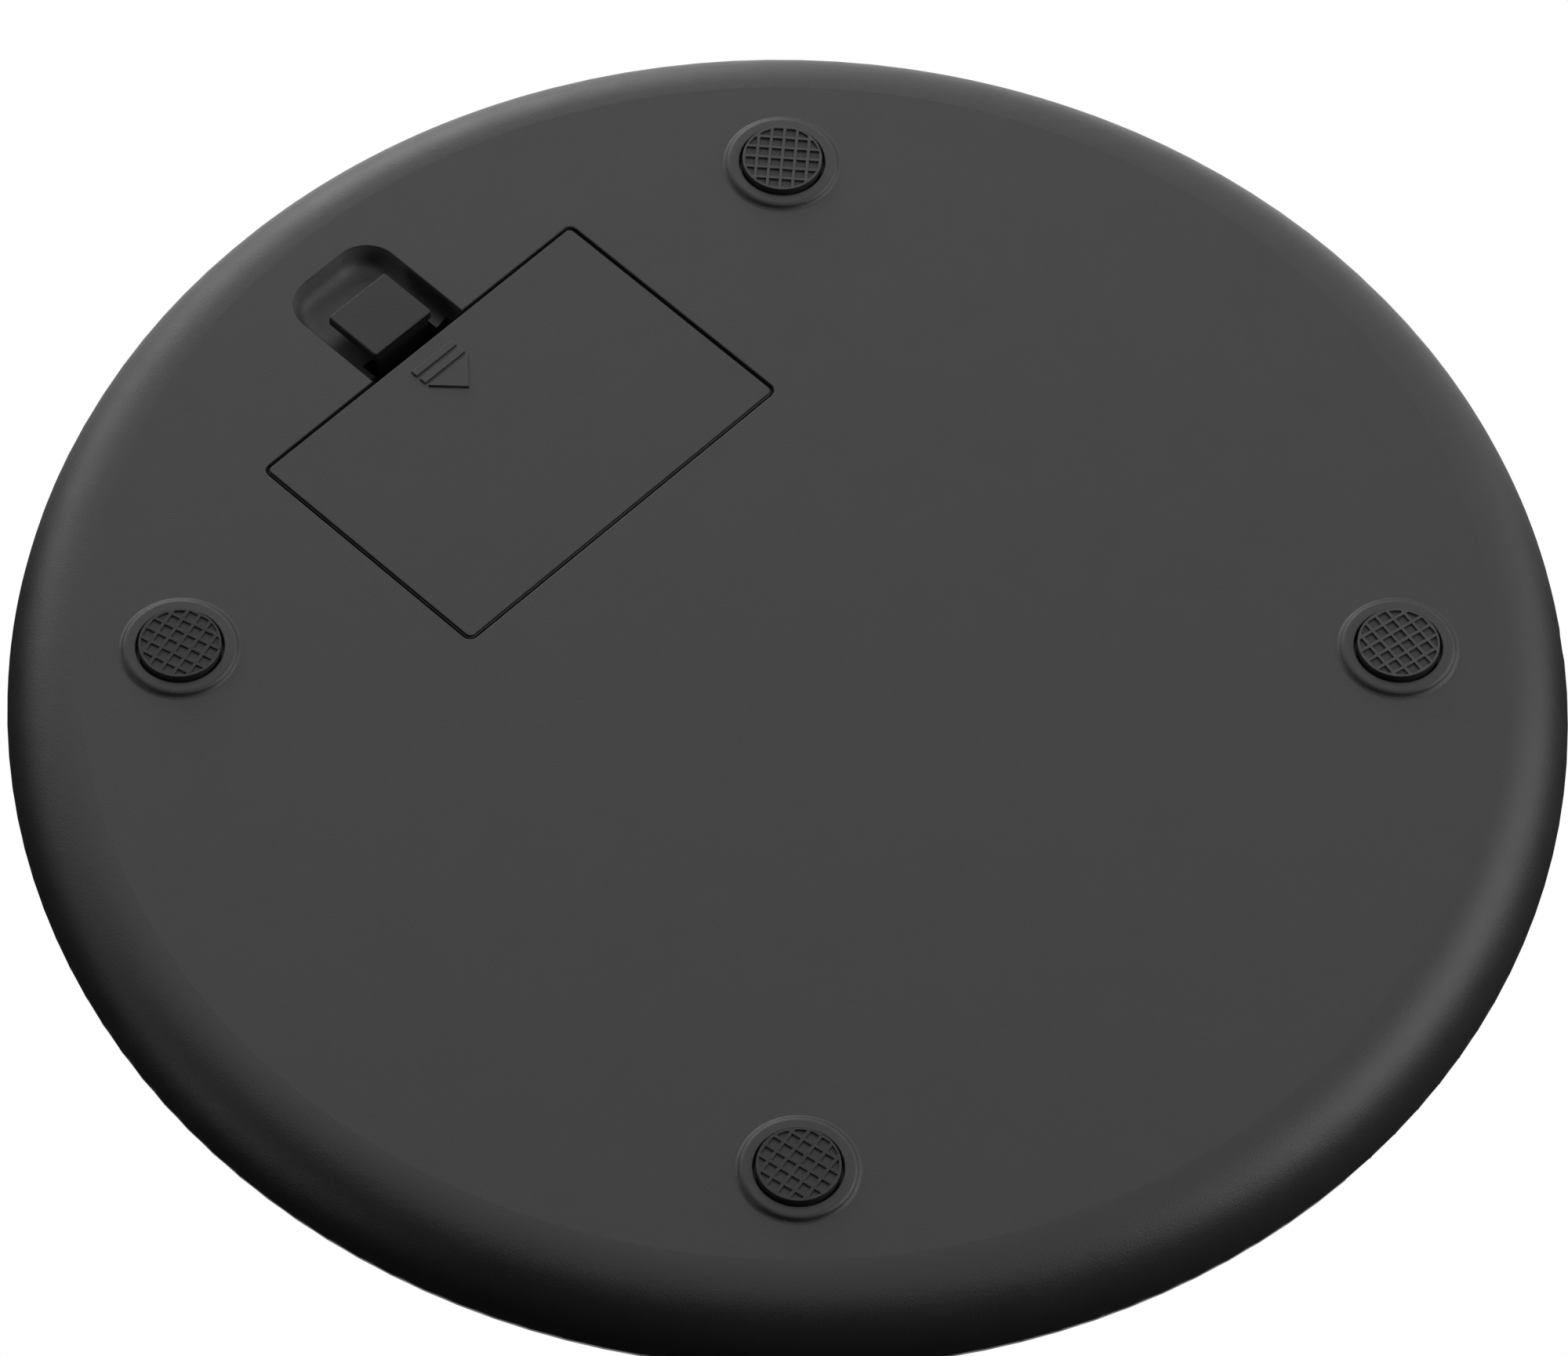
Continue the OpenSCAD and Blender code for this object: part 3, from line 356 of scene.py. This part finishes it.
def float_glass():
    """Toughened float glass with polished edges: clear and faintly green, with a crisp shine."""
    material, tree = new_material("toughened_float_glass")
    shader = add_node(
        tree,
        "ShaderNodeBsdfPrincipled",
        inputs={
            "Base Color": linear("#e8f3ee"),
            "Roughness": 0.01,
            "IOR": 1.52,
            "Transmission Weight": 1.0,
        },
    )
    clear = add_node(tree, "ShaderNodeBsdfTransparent", inputs={"Color": linear("#dcebe4")})
    path = add_node(tree, "ShaderNodeLightPath")
    # Light reaches the display through the glass, so its shadow is a faint tint
    surface = add_node(
        tree,
        "ShaderNodeMixShader",
        links={0: path.outputs["Is Shadow Ray"], 1: shader.outputs[0], 2: clear.outputs[0]},
    )
    finish_surface(tree, surface)
    return material


# Each band of a cell from its flat end: where it starts as a share of the length, colour, metallic
JACKET_BANDS = (
    (0.0, "#b9babc", 1.0),
    (0.016, "#34404b", 0.0),
    (0.7, "#87919a", 0.4),
    (0.955, "#b9babc", 1.0),
)


def battery_jacket(cell, button_end):
    """Printed film shrunk on a steel can: glossy, with one band, and bare steel at both ends."""
    low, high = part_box(cell)
    material, tree = new_material("printed_film_on_steel_" + cell)
    place = add_node(tree, "ShaderNodeTexCoord")
    along = add_node(tree, "ShaderNodeSeparateXYZ", links={"Vector": place.outputs["Object"]})
    start, end = (low.y, high.y) if button_end > 0 else (high.y, low.y)
    share = add_node(
        tree,
        "ShaderNodeMapRange",
        inputs={"From Min": start, "From Max": end, "To Min": 0.0, "To Max": 1.0},
        links={"Value": along.outputs["Y"]},
    )
    coloured = add_node(tree, "ShaderNodeValToRGB", links={"Fac": share.outputs["Result"]})
    metallic = add_node(tree, "ShaderNodeValToRGB", links={"Fac": share.outputs["Result"]})
    for node, values in (
        (coloured, [linear(colour) for _, colour, _ in JACKET_BANDS]),
        (metallic, [[metal, metal, metal, 1.0] for _, _, metal in JACKET_BANDS]),
    ):
        node.color_ramp.interpolation = "CONSTANT"
        stops = node.color_ramp.elements
        for _ in JACKET_BANDS[2:]:
            stops.new(0.5)
        for stop, (position, _, _), value in zip(stops, JACKET_BANDS, values):
            stop.position = position
            stop.color = value
    shader = add_node(
        tree,
        "ShaderNodeBsdfPrincipled",
        links={
            "Base Color": coloured.outputs["Color"],
            "Metallic": metallic.outputs["Color"],
            "Roughness": drift(tree, 1.5, 0.3, 0.38, detail=4.0),
        },
    )
    finish_surface(tree, shader)
    return material


def plain_finishes():
    """The finishes that need no bands, by the record's material slot."""
    return {
        # The same ABS where it isn't seen up close: one satin black
        "black_abs": grained(
            "moulded_abs_plain", "#39393a", 0.38, 0.5, 0.004, **{"Specular IOR Level": 0.35}
        ),
        # Nylon moulded in a fine tool: darker than the ABS, with a soft sheen
        "black_nylon": grained("moulded_nylon_satin", "#1f1f20", 0.42, 0.5, 0.004),
        # Ceramic print fired into the glass: deep black, whose only gloss is the glass before it
        "back_print": grained(
            "fired_ceramic_print", "#060607", 0.6, 2.0, 0.0, mottle=0.1, **{"Specular IOR Level": 0.0}
        ),
        # Acrylic foam tape: off-white and dull, with fine cells
        "bonding_tape": grained("acrylic_foam_tape", "#d9d8d2", 0.75, 0.3, 0.05),
        # EVA foam: dull black with fine cells
        "eva_foam": grained("cut_eva_foam", "#262626", 0.85, 0.35, 0.06),
        # Stamped steel under nickel: grey metal with soft patches of gloss
        "spring_steel": grained("stamped_steel_nickel", "#b4b6b9", 0.32, 1.2, 0.004, Metallic=1.0),
        # Undyed ABS: cream white and half dull
        "natural_abs": grained("moulded_abs_natural", "#dad6ca", 0.4, 0.6, 0.004),
        # Polyimide foil under a silicone dab: amber and wet-looking
        "gauge_foil": grained("polyimide_foil", "#b5762a", 0.18, 0.8, 0.01),
        # Zinc plate on a cold-headed screw: pale metal with a bluish cast
        "zinc_steel": grained("zinc_plated_steel", "#c2c6cb", 0.31, 0.4, 0.003, Metallic=1.0),
        # Glass-fibre board under solder mask: glossy green, uneven in tone
        "green_board": grained("solder_mask_green", "#14532d", 0.24, 0.9, 0.004, mottle=0.14),
        # Epoxy dropped over the chip: black, domed and shiny
        "epoxy_black": grained("potted_epoxy", "#0f0f10", 0.2, 1.6, 0.01),
        # Cased parts on the board: tan and half dull
        "component_tan": grained("cased_component", "#9a8455", 0.45, 0.4, 0.004),
        # White nylon: milky, with a soft shine
        "white_nylon": grained("moulded_nylon_white", "#e4e1d8", 0.38, 0.5, 0.003),
        # Reflector behind the liquid crystal: grey-green, with a faint sparkle under glass
        "display_glass": grained("display_reflector", "#8f9a8b", 0.16, 0.35, 0.001, mottle=0.04),
        # Switched segments: near black with a blue cast
        "display_black": grained("display_segment", "#12161a", 0.3, 0.4, 0.001),
        # Layered silicone: dark grey and dull
        "zebra_rubber": grained("layered_silicone", "#3a3a3d", 0.55, 0.2, 0.01),
        # Opal acrylic: bright, milky and glossy
        "light_acrylic": grained("opal_acrylic", "#eef1f4", 0.15, 2.0, 0.002),
        # Nickel plate on spring wire: bright, with a warm tinge
        "nickel_plate": grained("nickel_plated_wire", "#cbc7bf", 0.2, 0.7, 0.003, Metallic=1.0),
        # PVC insulation: even colour with a waxy shine
        "red_pvc": grained("pvc_red", "#a8201b", 0.35, 1.0, 0.006),
        "black_pvc": grained("pvc_black", "#171717", 0.35, 1.0, 0.006),
        "grey_pvc": grained("pvc_grey", "#bfbdb6", 0.38, 1.0, 0.006),
    }


FINISHES = {}


def finish_for(slot):
    """The plain finish of a material slot, made once."""
    if not FINISHES:
        FINISHES.update(plain_finishes())
    return FINISHES[slot]


def paint(obj, material):
    """Gives an object one material."""
    obj.data.materials.clear()
    obj.data.materials.append(material)


def paint_nodes(*starts):
    """Gives the CAD nodes whose names start so the plain finish of their slot."""
    for node, obj in NODES.items():
        if node.startswith(starts):
            paint(obj, finish_for(SLOTS[node]))


# ---- Softened edges ----


def place_key(point):
    """A point as a key that its copies share."""
    return tuple(round(value / KEY_STEP) for value in point)


def round_edges(shape, height, width):
    """Rounds the sharp outward edges that lie at one height."""

    def lies_there(vertex):
        return abs(vertex.co.z - height) < SAME_HEIGHT

    # The triangles of a flat face are joined first, so that a round runs along whole faces.
    # The edges stay in the shape's own order, so that each run joins the same ones.
    beside = {face for face in shape.faces if any(lies_there(vertex) for vertex in face.verts)}
    seams = [
        edge
        for edge in shape.edges
        if edge.is_manifold and beside.issuperset(edge.link_faces) and edge.calc_face_angle() < FLAT_ANGLE
    ]
    bmesh.ops.dissolve_limit(shape, angle_limit=FLAT_ANGLE, edges=seams, verts=[])
    sharp = [
        edge
        for edge in shape.edges
        if edge.is_manifold
        and edge.is_convex
        and edge.calc_face_angle() > SHARP_ANGLE
        and all(lies_there(vertex) for vertex in edge.verts)
    ]
    if not sharp:
        raise RuntimeError(f"no sharp edge at {height}")
    rounds = bmesh.ops.bevel(
        shape,
        geom=sharp,
        offset=width,
        segments=3,
        profile=0.5,
        affect="EDGES",
        clamp_overlap=False,
        loop_slide=False,
    )
    for face in rounds["faces"]:
        face.smooth = True


def sorted_mesh(name, shape):
    """The shape as a mesh with its points and faces sorted by place.

    Rounding leaves them in another order each run, and the mesh would change with it.
    """
    points = sorted(shape.verts, key=lambda vertex: vertex.co[:])
    for number, vertex in enumerate(points):
        vertex.index = number
    faces = []
    for face in shape.faces:
        ring = [vertex.index for vertex in face.verts]
        first = ring.index(min(ring))
        faces.append((ring[first:] + ring[:first], face.smooth))
    faces.sort()
    mesh = bpy.data.meshes.new(name)
    mesh.from_pydata([vertex.co for vertex in points], [], [ring for ring, _ in faces])
    mesh.polygons.foreach_set("use_smooth", [smooth for _, smooth in faces])
    return mesh


def shade_like(mesh, model):
    """Gives a softened mesh the CAD model's own normals, which its rounds blend between.

    The rounds are the faces marked smooth.
    """
    exact = {}
    for face in model.polygons:
        for vertex, corner in zip(face.vertices, face.loop_indices):
            key = place_key(model.vertices[vertex].co)
            exact.setdefault(key, []).append(model.corner_normals[corner].vector.copy())
    around = {False: [[] for _ in mesh.vertices], True: [[] for _ in mesh.vertices]}
    for face in mesh.polygons:
        for vertex in face.vertices:
            around[face.use_smooth][vertex].append(face)
    least = math.cos(SMOOTH_ANGLE)
    normals = []
    for face in mesh.polygons:
        for vertex in face.vertices:
            known = exact.get(place_key(mesh.vertices[vertex].co), [])
            best = max(known, key=face.normal.dot, default=Vector())
            for group in (around[False], around[True]):
                if best.dot(face.normal) < least:
                    near = [other for other in group[vertex] if other.normal.dot(face.normal) > least]
                    best = sum((other.normal * other.area for other in near), Vector()).normalized()
            normals.append(best)
    mesh.polygons.foreach_set("use_smooth", [True] * len(mesh.polygons))
    mesh.normals_split_custom_set(normals)


def softened_copy(node, name, body, levels):
    """Stands in for a CAD node, with its sharp outward edges rounded at the given heights.

    levels holds (height, width) pairs in metres.
    """
    model = NODES[node].data
    shape = bmesh.new()
    shape.from_mesh(model)
    bmesh.ops.remove_doubles(shape, verts=shape.verts, dist=WELD)
    bmesh.ops.dissolve_degenerate(shape, edges=shape.edges, dist=SLIVER)
    for face in shape.faces:
        face.smooth = False
    for height, width in levels:
        round_edges(shape, height, width)
    bmesh.ops.triangulate(shape, faces=[face for face in shape.faces if len(face.verts) > 3])
    mesh = sorted_mesh(name, shape)
    shape.free()
    shade_like(mesh, model)
    piece = bpy.data.objects.new(name, mesh)
    bpy.context.scene.collection.objects.link(piece)
    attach(piece, body)
    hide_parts(node)
    return piece


# ---- What a user would change ----


def round_prop(name, description, default_mm):
    """The width of a round in metres, from millimetres."""
    return FloatProperty(
        name=name,
        description=description,
        default=default_mm * MM,
        min=0.0,
        max=2.0 * MM,
        precision=5,
        unit="LENGTH",
    )


def colour_prop(name, description, hex_colour):
    """A colour, from sRGB hex."""
    return FloatVectorProperty(
        name=name,
        description=description,
        default=linear(hex_colour),
        size=4,
        min=0.0,
        max=1.0,
        subtype="COLOR",
    )


class ScaleEdges(bpy.types.PropertyGroup):
    """How far each moulded edge is rounded."""

    tray_opening: round_prop("Tray openings", "Round on the edges of the door opening and recess", 0.35)
    foot_hole: round_prop("Foot holes", "Round on the inner edge of each foot ring", 0.25)
    rim_lip: round_prop("Rim lip", "Round on the lip that holds the glass", 0.3)
    door: round_prop("Battery door", "Round on the door's outer edges and its step", 0.25)
    arrow: round_prop("Door arrow", "Round on the raised arrow", 0.2)
    finger_pad: round_prop("Finger pad", "Round on the latch's finger pad", 0.45)
    foot_pad: round_prop("Foot pads", "Round on the rubber pads' ribs", 0.12)


class ScaleColours(bpy.types.PropertyGroup):
    """The colours of the large pieces."""

    tray: colour_prop("Tray", "Moulded tray", "#39393a")
    door: colour_prop("Battery door", "Moulded battery door", "#373738")
    latch: colour_prop("Door latch", "Moulded latch with its finger pad", "#1f1f20")
    pads: colour_prop("Foot pads", "Moulded rubber pads", "#303030")


class ScaleStage(bpy.types.PropertyGroup):
    """The plain studio: camera, lamps and floor."""

    camera_place: FloatVectorProperty(
        name="Camera place",
        description="Where the camera stands, below the floor, looking up at the underside",
        default=(-0.83883854, 0.77102719, -1.65522673),
        size=3,
        subtype="TRANSLATION",
        unit="LENGTH",
    )
    camera_turn: FloatVectorProperty(
        name="Camera turn",
        description="The camera's turn about X, Y and Z",
        default=[math.radians(angle) for angle in (-145.692, 1.096, 45.753)],
        size=3,
        subtype="EULER",
        unit="ROTATION",
    )
    camera_lens: FloatProperty(
        name="Camera lens", description="Focal length in millimetres", default=216.36414, min=1.0
    )
    floor_size: FloatProperty(
        name="Floor size", description="Side of the square floor", default=30.0, min=1.0, unit="LENGTH"
    )
    lamp_level: FloatProperty(
        name="Lamp level", description="Brightness of the softboxes below the floor", default=1.0, min=0.0
    )
    daylight: FloatProperty(
        name="Daylight", description="Even light from the world on dull surfaces", default=0.0, min=0.0
    )
    top_strength: FloatProperty(
        name="Overhead light", description="Soft overhead light on the glass", default=2.2, min=0.0
    )


# ---- Pieces ----


class BATHSCALE_OT_tray(bpy.types.Operator):
    """Moulded tray with rounded edges round its openings, foot holes and lip"""

    bl_idname = "bathscale.tray"
    bl_label = "Tray"

    def execute(self, context):
        edges = context.scene.bathscale_edges
        paint(NODES["bottom_tray"], finish_for("black_abs"))
        low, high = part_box("bottom_tray")
        tray = softened_copy(
            "bottom_tray",
            "moulded_tray",
            "tray",
            [
                (UNDERSIDE_Z, edges.tray_opening),
                (low.z, edges.foot_hole),
                (high.z, edges.rim_lip),
            ],
        )
        # The recess's walls get painted light, since the studio's light hardly reaches them
        paint(tray, moulded_abs(context.scene.bathscale_colours.tray, recess_light=RECESS_PAINTED_LIGHT))
        return {"FINISHED"}


class BATHSCALE_OT_battery_door(bpy.types.Operator):
    """Battery door with its arrow, and the latch that bends with its finger pad"""

    bl_idname = "bathscale.battery_door"
    bl_label = "Battery door"

    def execute(self, context):
        edges = context.scene.bathscale_edges
        colours = context.scene.bathscale_colours
        door = softened_copy(
            "battery_door",
            "hinged_battery_door",
            "battery_door",
            [
                (UNDERSIDE_Z, edges.door),
                (UNDERSIDE_Z + DOOR_STEP, edges.door),
                (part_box("battery_door")[0].z, edges.arrow),
            ],
        )
        latch = softened_copy(
            "door_latch", "bending_door_latch", "door_latch", [(FINGER_Z, edges.finger_pad)]
        )
        paint(door, moulded_abs(colours.door))
        paint(latch, moulded_abs(colours.latch, shine=LATCH_SHINE))
        return {"FINISHED"}


class BATHSCALE_OT_feet(bpy.types.Operator):
    """Four rubber foot pads with their waffle, and the plungers behind them"""

    bl_idname = "bathscale.feet"
    bl_label = "Feet"

    def execute(self, context):
        rubber = moulded_rubber(context.scene.bathscale_colours.pads)
        for node in [name for name in NODES if name.startswith("foot_pad")]:
            pad = softened_copy(
                node,
                node.replace("foot_pad", "waffle_pad"),
                "tray",
                [(PAD_Z, context.scene.bathscale_edges.foot_pad)],
            )
            paint(pad, rubber)
        paint_nodes("foot_plunger")
        return {"FINISHED"}


class BATHSCALE_OT_glass_top(bpy.types.Operator):
    """Glass platform with its black print, tape and foam cushions"""

    bl_idname = "bathscale.glass_top"
    bl_label = "Glass top"

    def execute(self, context):
        paint(NODES["platform_glass"], float_glass())
        paint_nodes("platform_tape", "cushion_pads")
        # The print is fired into the glass, so its copy reaches a hair into it: no air lies between
        fused = NODES["glass_print"].data.copy()
        fused.transform(Matrix.Translation((0, 0, PRINT_DEPTH)))
        printed = bpy.data.objects.new("fired_print", fused)
        context.scene.collection.objects.link(printed)
        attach(printed, "tray")
        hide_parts("glass_print")
        paint(printed, finish_for("back_print"))
        return {"FINISHED"}


class BATHSCALE_OT_display(bpy.types.Operator):
    """Liquid crystal display with its frame, segments, light panel and zebra strips"""

    bl_idname = "bathscale.display"
    bl_label = "Display"

    def execute(self, context):
        paint_nodes("lcd_", "light_panel", "zebra_strips")
        return {"FINISHED"}


class BATHSCALE_OT_load_cells(bpy.types.Operator):
    """Four load cells with their clamps, strain gauges, screws and leads"""

    bl_idname = "bathscale.load_cells"
    bl_label = "Load cells"

    def execute(self, context):
        paint_nodes("load_cell", "cell_", "strain_gauge")
        return {"FINISHED"}


class BATHSCALE_OT_electronics(bpy.types.Operator):
    """Main board with its parts, and the small board behind the unit button"""

    bl_idname = "bathscale.electronics"
    bl_label = "Electronics"

    def execute(self, context):
        paint_nodes("main_board", "board_", "lead_sockets", "unit_")
        return {"FINISHED"}


class BATHSCALE_OT_batteries(bpy.types.Operator):
    """Four cells in plain jackets, with their springs, plates and leads"""

    bl_idname = "bathscale.batteries"
    bl_label = "Batteries"

    def execute(self, context):
        paint_nodes("battery_springs", "battery_plates", "battery_lead")
        for index in range(1, 5):
            node = f"battery_{index}"
            paint(NODES[node], battery_jacket(node, button_end=1 if index % 2 else -1))
        return {"FINISHED"}


# ---- Studio ----


def hide_from_camera(obj):
    """Keeps a lamp or a black card out of sight, also through the glass."""
    obj.visible_camera = False
    obj.visible_transmission = False


def toward(turn, depth):
    """The direction at a compass turn from +X, and an angle below the floor, both in degrees."""
    around, down = math.radians(turn), math.radians(depth)
    return Vector(
        (math.cos(down) * math.cos(around), math.cos(down) * math.sin(around), -math.sin(down))
    )


def softbox(context, name, turn, depth, power):
    """A soft square lamp below the floor that faces the middle of the scale."""
    data = bpy.data.lights.new(name, "AREA")
    data.size = SOFTBOX_SIZE
    data.energy = power
    lamp = bpy.data.objects.new(name, data)
    away = toward(turn, depth)
    lamp.location = away * LAMP_DISTANCE
    lamp.rotation_euler = away.to_track_quat("Z", "Y").to_euler()
    context.scene.collection.objects.link(lamp)
    hide_from_camera(lamp)


def one_sided_floor():
    """Pale floor that is white from above, holds the shadow, and is clear from below."""
    material, tree = new_material("painted_studio_floor")
    side = add_node(tree, "ShaderNodeNewGeometry")
    clear = add_node(tree, "ShaderNodeBsdfTransparent")
    glow = add_node(tree, "ShaderNodeEmission", inputs={"Color": linear("#ffffff"), "Strength": FLOOR_GLOW})
    matt = add_node(tree, "ShaderNodeBsdfDiffuse", inputs={"Color": linear("#a9a9a9")})
    pale = add_node(tree, "ShaderNodeAddShader", links={0: glow.outputs[0], 1: matt.outputs[0]})
    surface = add_node(
        tree,
        "ShaderNodeMixShader",
        links={0: side.outputs["Backfacing"], 1: pale.outputs[0], 2: clear.outputs[0]},
    )
    finish_surface(tree, surface)
    return material


def plain_world(daylight):
    """White for the camera, gloss and glass, and a lower even light on everything else."""
    world = bpy.data.worlds.new("plain_white_studio")
    world.use_nodes = True
    tree = world.node_tree
    tree.nodes.clear()
    path = add_node(tree, "ShaderNodeLightPath")
    seen = path.outputs["Is Camera Ray"]
    for ray in ("Is Glossy Ray", "Is Transmission Ray"):
        either = add_node(
            tree, "ShaderNodeMath", links={0: seen, 1: path.outputs[ray]}, operation="MAXIMUM"
        )
        seen = either.outputs["Value"]
    low = add_node(tree, "ShaderNodeBackground", inputs={"Color": linear("#ffffff"), "Strength": daylight})
    white = add_node(tree, "ShaderNodeBackground", inputs={"Color": linear("#ffffff"), "Strength": 1.0})
    mix = add_node(tree, "ShaderNodeMixShader", links={0: seen, 1: low.outputs[0], 2: white.outputs[0]})
    add_node(tree, "ShaderNodeOutputWorld", links={"Surface": mix.outputs[0]})
    return world


def black_card(context, name, shape, middle=None):
    """Makes a shape a matt black stage piece that shows in reflections alone.

    With a middle direction, the cloth is dense there and thins out to nothing away from it.
    """
    material, tree = new_material(name + "_cloth")
    cloth = add_node(tree, "ShaderNodeBsdfDiffuse", inputs={"Color": linear("#050505")})
    if middle is not None:
        place = add_node(tree, "ShaderNodeTexCoord")
        way = add_node(
            tree, "ShaderNodeVectorMath", links={0: place.outputs["Object"]}, operation="NORMALIZE"
        )
        along = add_node(
            tree,
            "ShaderNodeVectorMath",
            inputs={1: middle},
            links={0: way.outputs["Vector"]},
            operation="DOT_PRODUCT",
        )
        dense = add_node(
            tree,
            "ShaderNodeMapRange",
            inputs={"From Min": SHELF_THIN, "From Max": SHELF_DENSE},
            links={"Value": along.outputs["Value"]},
            interpolation_type="SMOOTHSTEP",
        )
        clear = add_node(tree, "ShaderNodeBsdfTransparent")
        links = {0: dense.outputs["Result"], 1: clear.outputs[0], 2: cloth.outputs[0]}
        cloth = add_node(tree, "ShaderNodeMixShader", links=links)
    finish_surface(tree, cloth)
    mesh = bpy.data.meshes.new(name)
    shape.to_mesh(mesh)
    shape.free()
    mesh.materials.append(material)
    card = bpy.data.objects.new(name, mesh)
    context.scene.collection.objects.link(card)
    hide_from_camera(card)
    card.visible_diffuse = False
    card.visible_shadow = False


def strip(near, far):
    """A strip of faces between two rows of points."""
    shape = bmesh.new()
    rows = [[shape.verts.new(point) for point in row] for row in (near, far)]
    for first, second, third, fourth in zip(rows[0], rows[1], rows[1][1:], rows[0][1:]):
        shape.faces.new((first, second, third, fourth))
    return shape


def arc(first, last):
    """Level directions from one compass turn to another, a few degrees apart."""
    steps = round((last - first) / ARC_STEP)
    return [toward(first + (last - first) * step / steps, 0.0) for step in range(steps + 1)]


def black_curtain(context, name, turns, depth):
    """A matt black curtain on an arc below the floor, which keeps gloss off the near side."""
    tops = [way * CURTAIN_RADIUS for way in arc(*turns)]
    black_card(context, name, strip(tops, [top - Vector((0, 0, depth)) for top in tops]))


def black_shelf(context, name, inner, height):
    """A flat matt black ring beside the rim, which keeps what lies above it off the rim's gloss.

    It is dense towards one compass turn, and the gloss comes back slowly away from it.
    """
    rise = Vector((0, 0, height))
    ways = arc(SHELF_TURN - SHELF_REACH, SHELF_TURN + SHELF_REACH)
    shape = strip(*([way * radius + rise for way in ways] for radius in (inner, SHELF_RADIUS)))
    black_card(context, name, shape, toward(SHELF_TURN, 0.0))


def square_piece(name, side, material):
    """A flat square in the XY plane, with one material."""
    mesh = bpy.data.meshes.new(name)
    shape = bmesh.new()
    bmesh.ops.create_grid(shape, x_segments=1, y_segments=1, size=side / 2)
    shape.to_mesh(mesh)
    shape.free()
    mesh.materials.append(material)
    return bpy.data.objects.new(name, mesh)


class BATHSCALE_OT_stage(bpy.types.Operator):
    """Pale floor, soft lamps above and below it, white world and the camera"""

    bl_idname = "bathscale.stage"
    bl_label = "Stage"

    def execute(self, context):
        scene = context.scene
        stage = scene.bathscale_stage
        scene.view_settings.view_transform = "Standard"

        floor = square_piece("studio_floor", stage.floor_size, one_sided_floor())
        floor.location.z = CAD_BOX[0].z
        scene.collection.objects.link(floor)
        # Only the camera sees the floor, so it neither shades nor lights the underside
        floor.visible_diffuse = False
        floor.visible_glossy = False
        floor.visible_transmission = False
        floor.visible_shadow = False

        scene.world = plain_world(stage.daylight)
        for name, turn, depth, power in SOFTBOXES:
            softbox(context, name, turn, depth, power * stage.lamp_level)
        for name, turns, depth in CURTAINS:
            black_curtain(context, name, turns, depth)
        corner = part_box("bottom_tray")[1]
        black_shelf(context, "rim_shelf", corner.x + SHELF_GAP, corner.z - SHELF_DROP)

        sun = bpy.data.lights.new("overhead_softlight", "SUN")
        sun.energy = stage.top_strength
        sun.angle = OVERHEAD_ANGLE
        overhead = bpy.data.objects.new("overhead_softlight", sun)
        scene.collection.objects.link(overhead)
        hide_from_camera(overhead)
        overhead.visible_glossy = False

        lens = bpy.data.cameras.new("product_camera")
        lens.lens = stage.camera_lens
        lens.sensor_width = 36.0
        lens.clip_end = 100.0
        camera = bpy.data.objects.new("product_camera", lens)
        camera.location = stage.camera_place
        camera.rotation_euler = stage.camera_turn
        scene.collection.objects.link(camera)
        scene.camera = camera
        return {"FINISHED"}


# ---- Panel, registration and the run ----


STEPS = (
    BATHSCALE_OT_tray,
    BATHSCALE_OT_battery_door,
    BATHSCALE_OT_feet,
    BATHSCALE_OT_glass_top,
    BATHSCALE_OT_display,
    BATHSCALE_OT_load_cells,
    BATHSCALE_OT_electronics,
    BATHSCALE_OT_batteries,
    BATHSCALE_OT_stage,
)

SETTINGS = (
    ("bathscale_edges", ScaleEdges),
    ("bathscale_colours", ScaleColours),
    ("bathscale_stage", ScaleStage),
)


class BATHSCALE_PT_panel(bpy.types.Panel):
    """The steps that dress the scale, with their sizes and colours"""

    bl_idname = "BATHSCALE_PT_panel"
    bl_label = "Bathroom scale"
    bl_space_type = "VIEW_3D"
    bl_region_type = "UI"
    bl_category = "Bathroom scale"

    def draw(self, context):
        layout = self.layout
        for step in STEPS:
            layout.operator(step.bl_idname)
        for name, group in SETTINGS:
            box = layout.box()
            for setting in group.__annotations__:
                box.prop(getattr(context.scene, name), setting)


def register():
    for name, group in SETTINGS:
        bpy.utils.register_class(group)
        setattr(bpy.types.Scene, name, PointerProperty(type=group))
    for step in STEPS:
        bpy.utils.register_class(step)
    bpy.utils.register_class(BATHSCALE_PT_panel)


def unregister():
    bpy.utils.unregister_class(BATHSCALE_PT_panel)
    for step in reversed(STEPS):
        bpy.utils.unregister_class(step)
    for name, group in reversed(SETTINGS):
        delattr(bpy.types.Scene, name)
        bpy.utils.unregister_class(group)


def main():
    register()
    for step in STEPS:
        getattr(bpy.ops.bathscale, step.bl_idname.split(".")[1])()


if __name__ == "__main__":
    main()
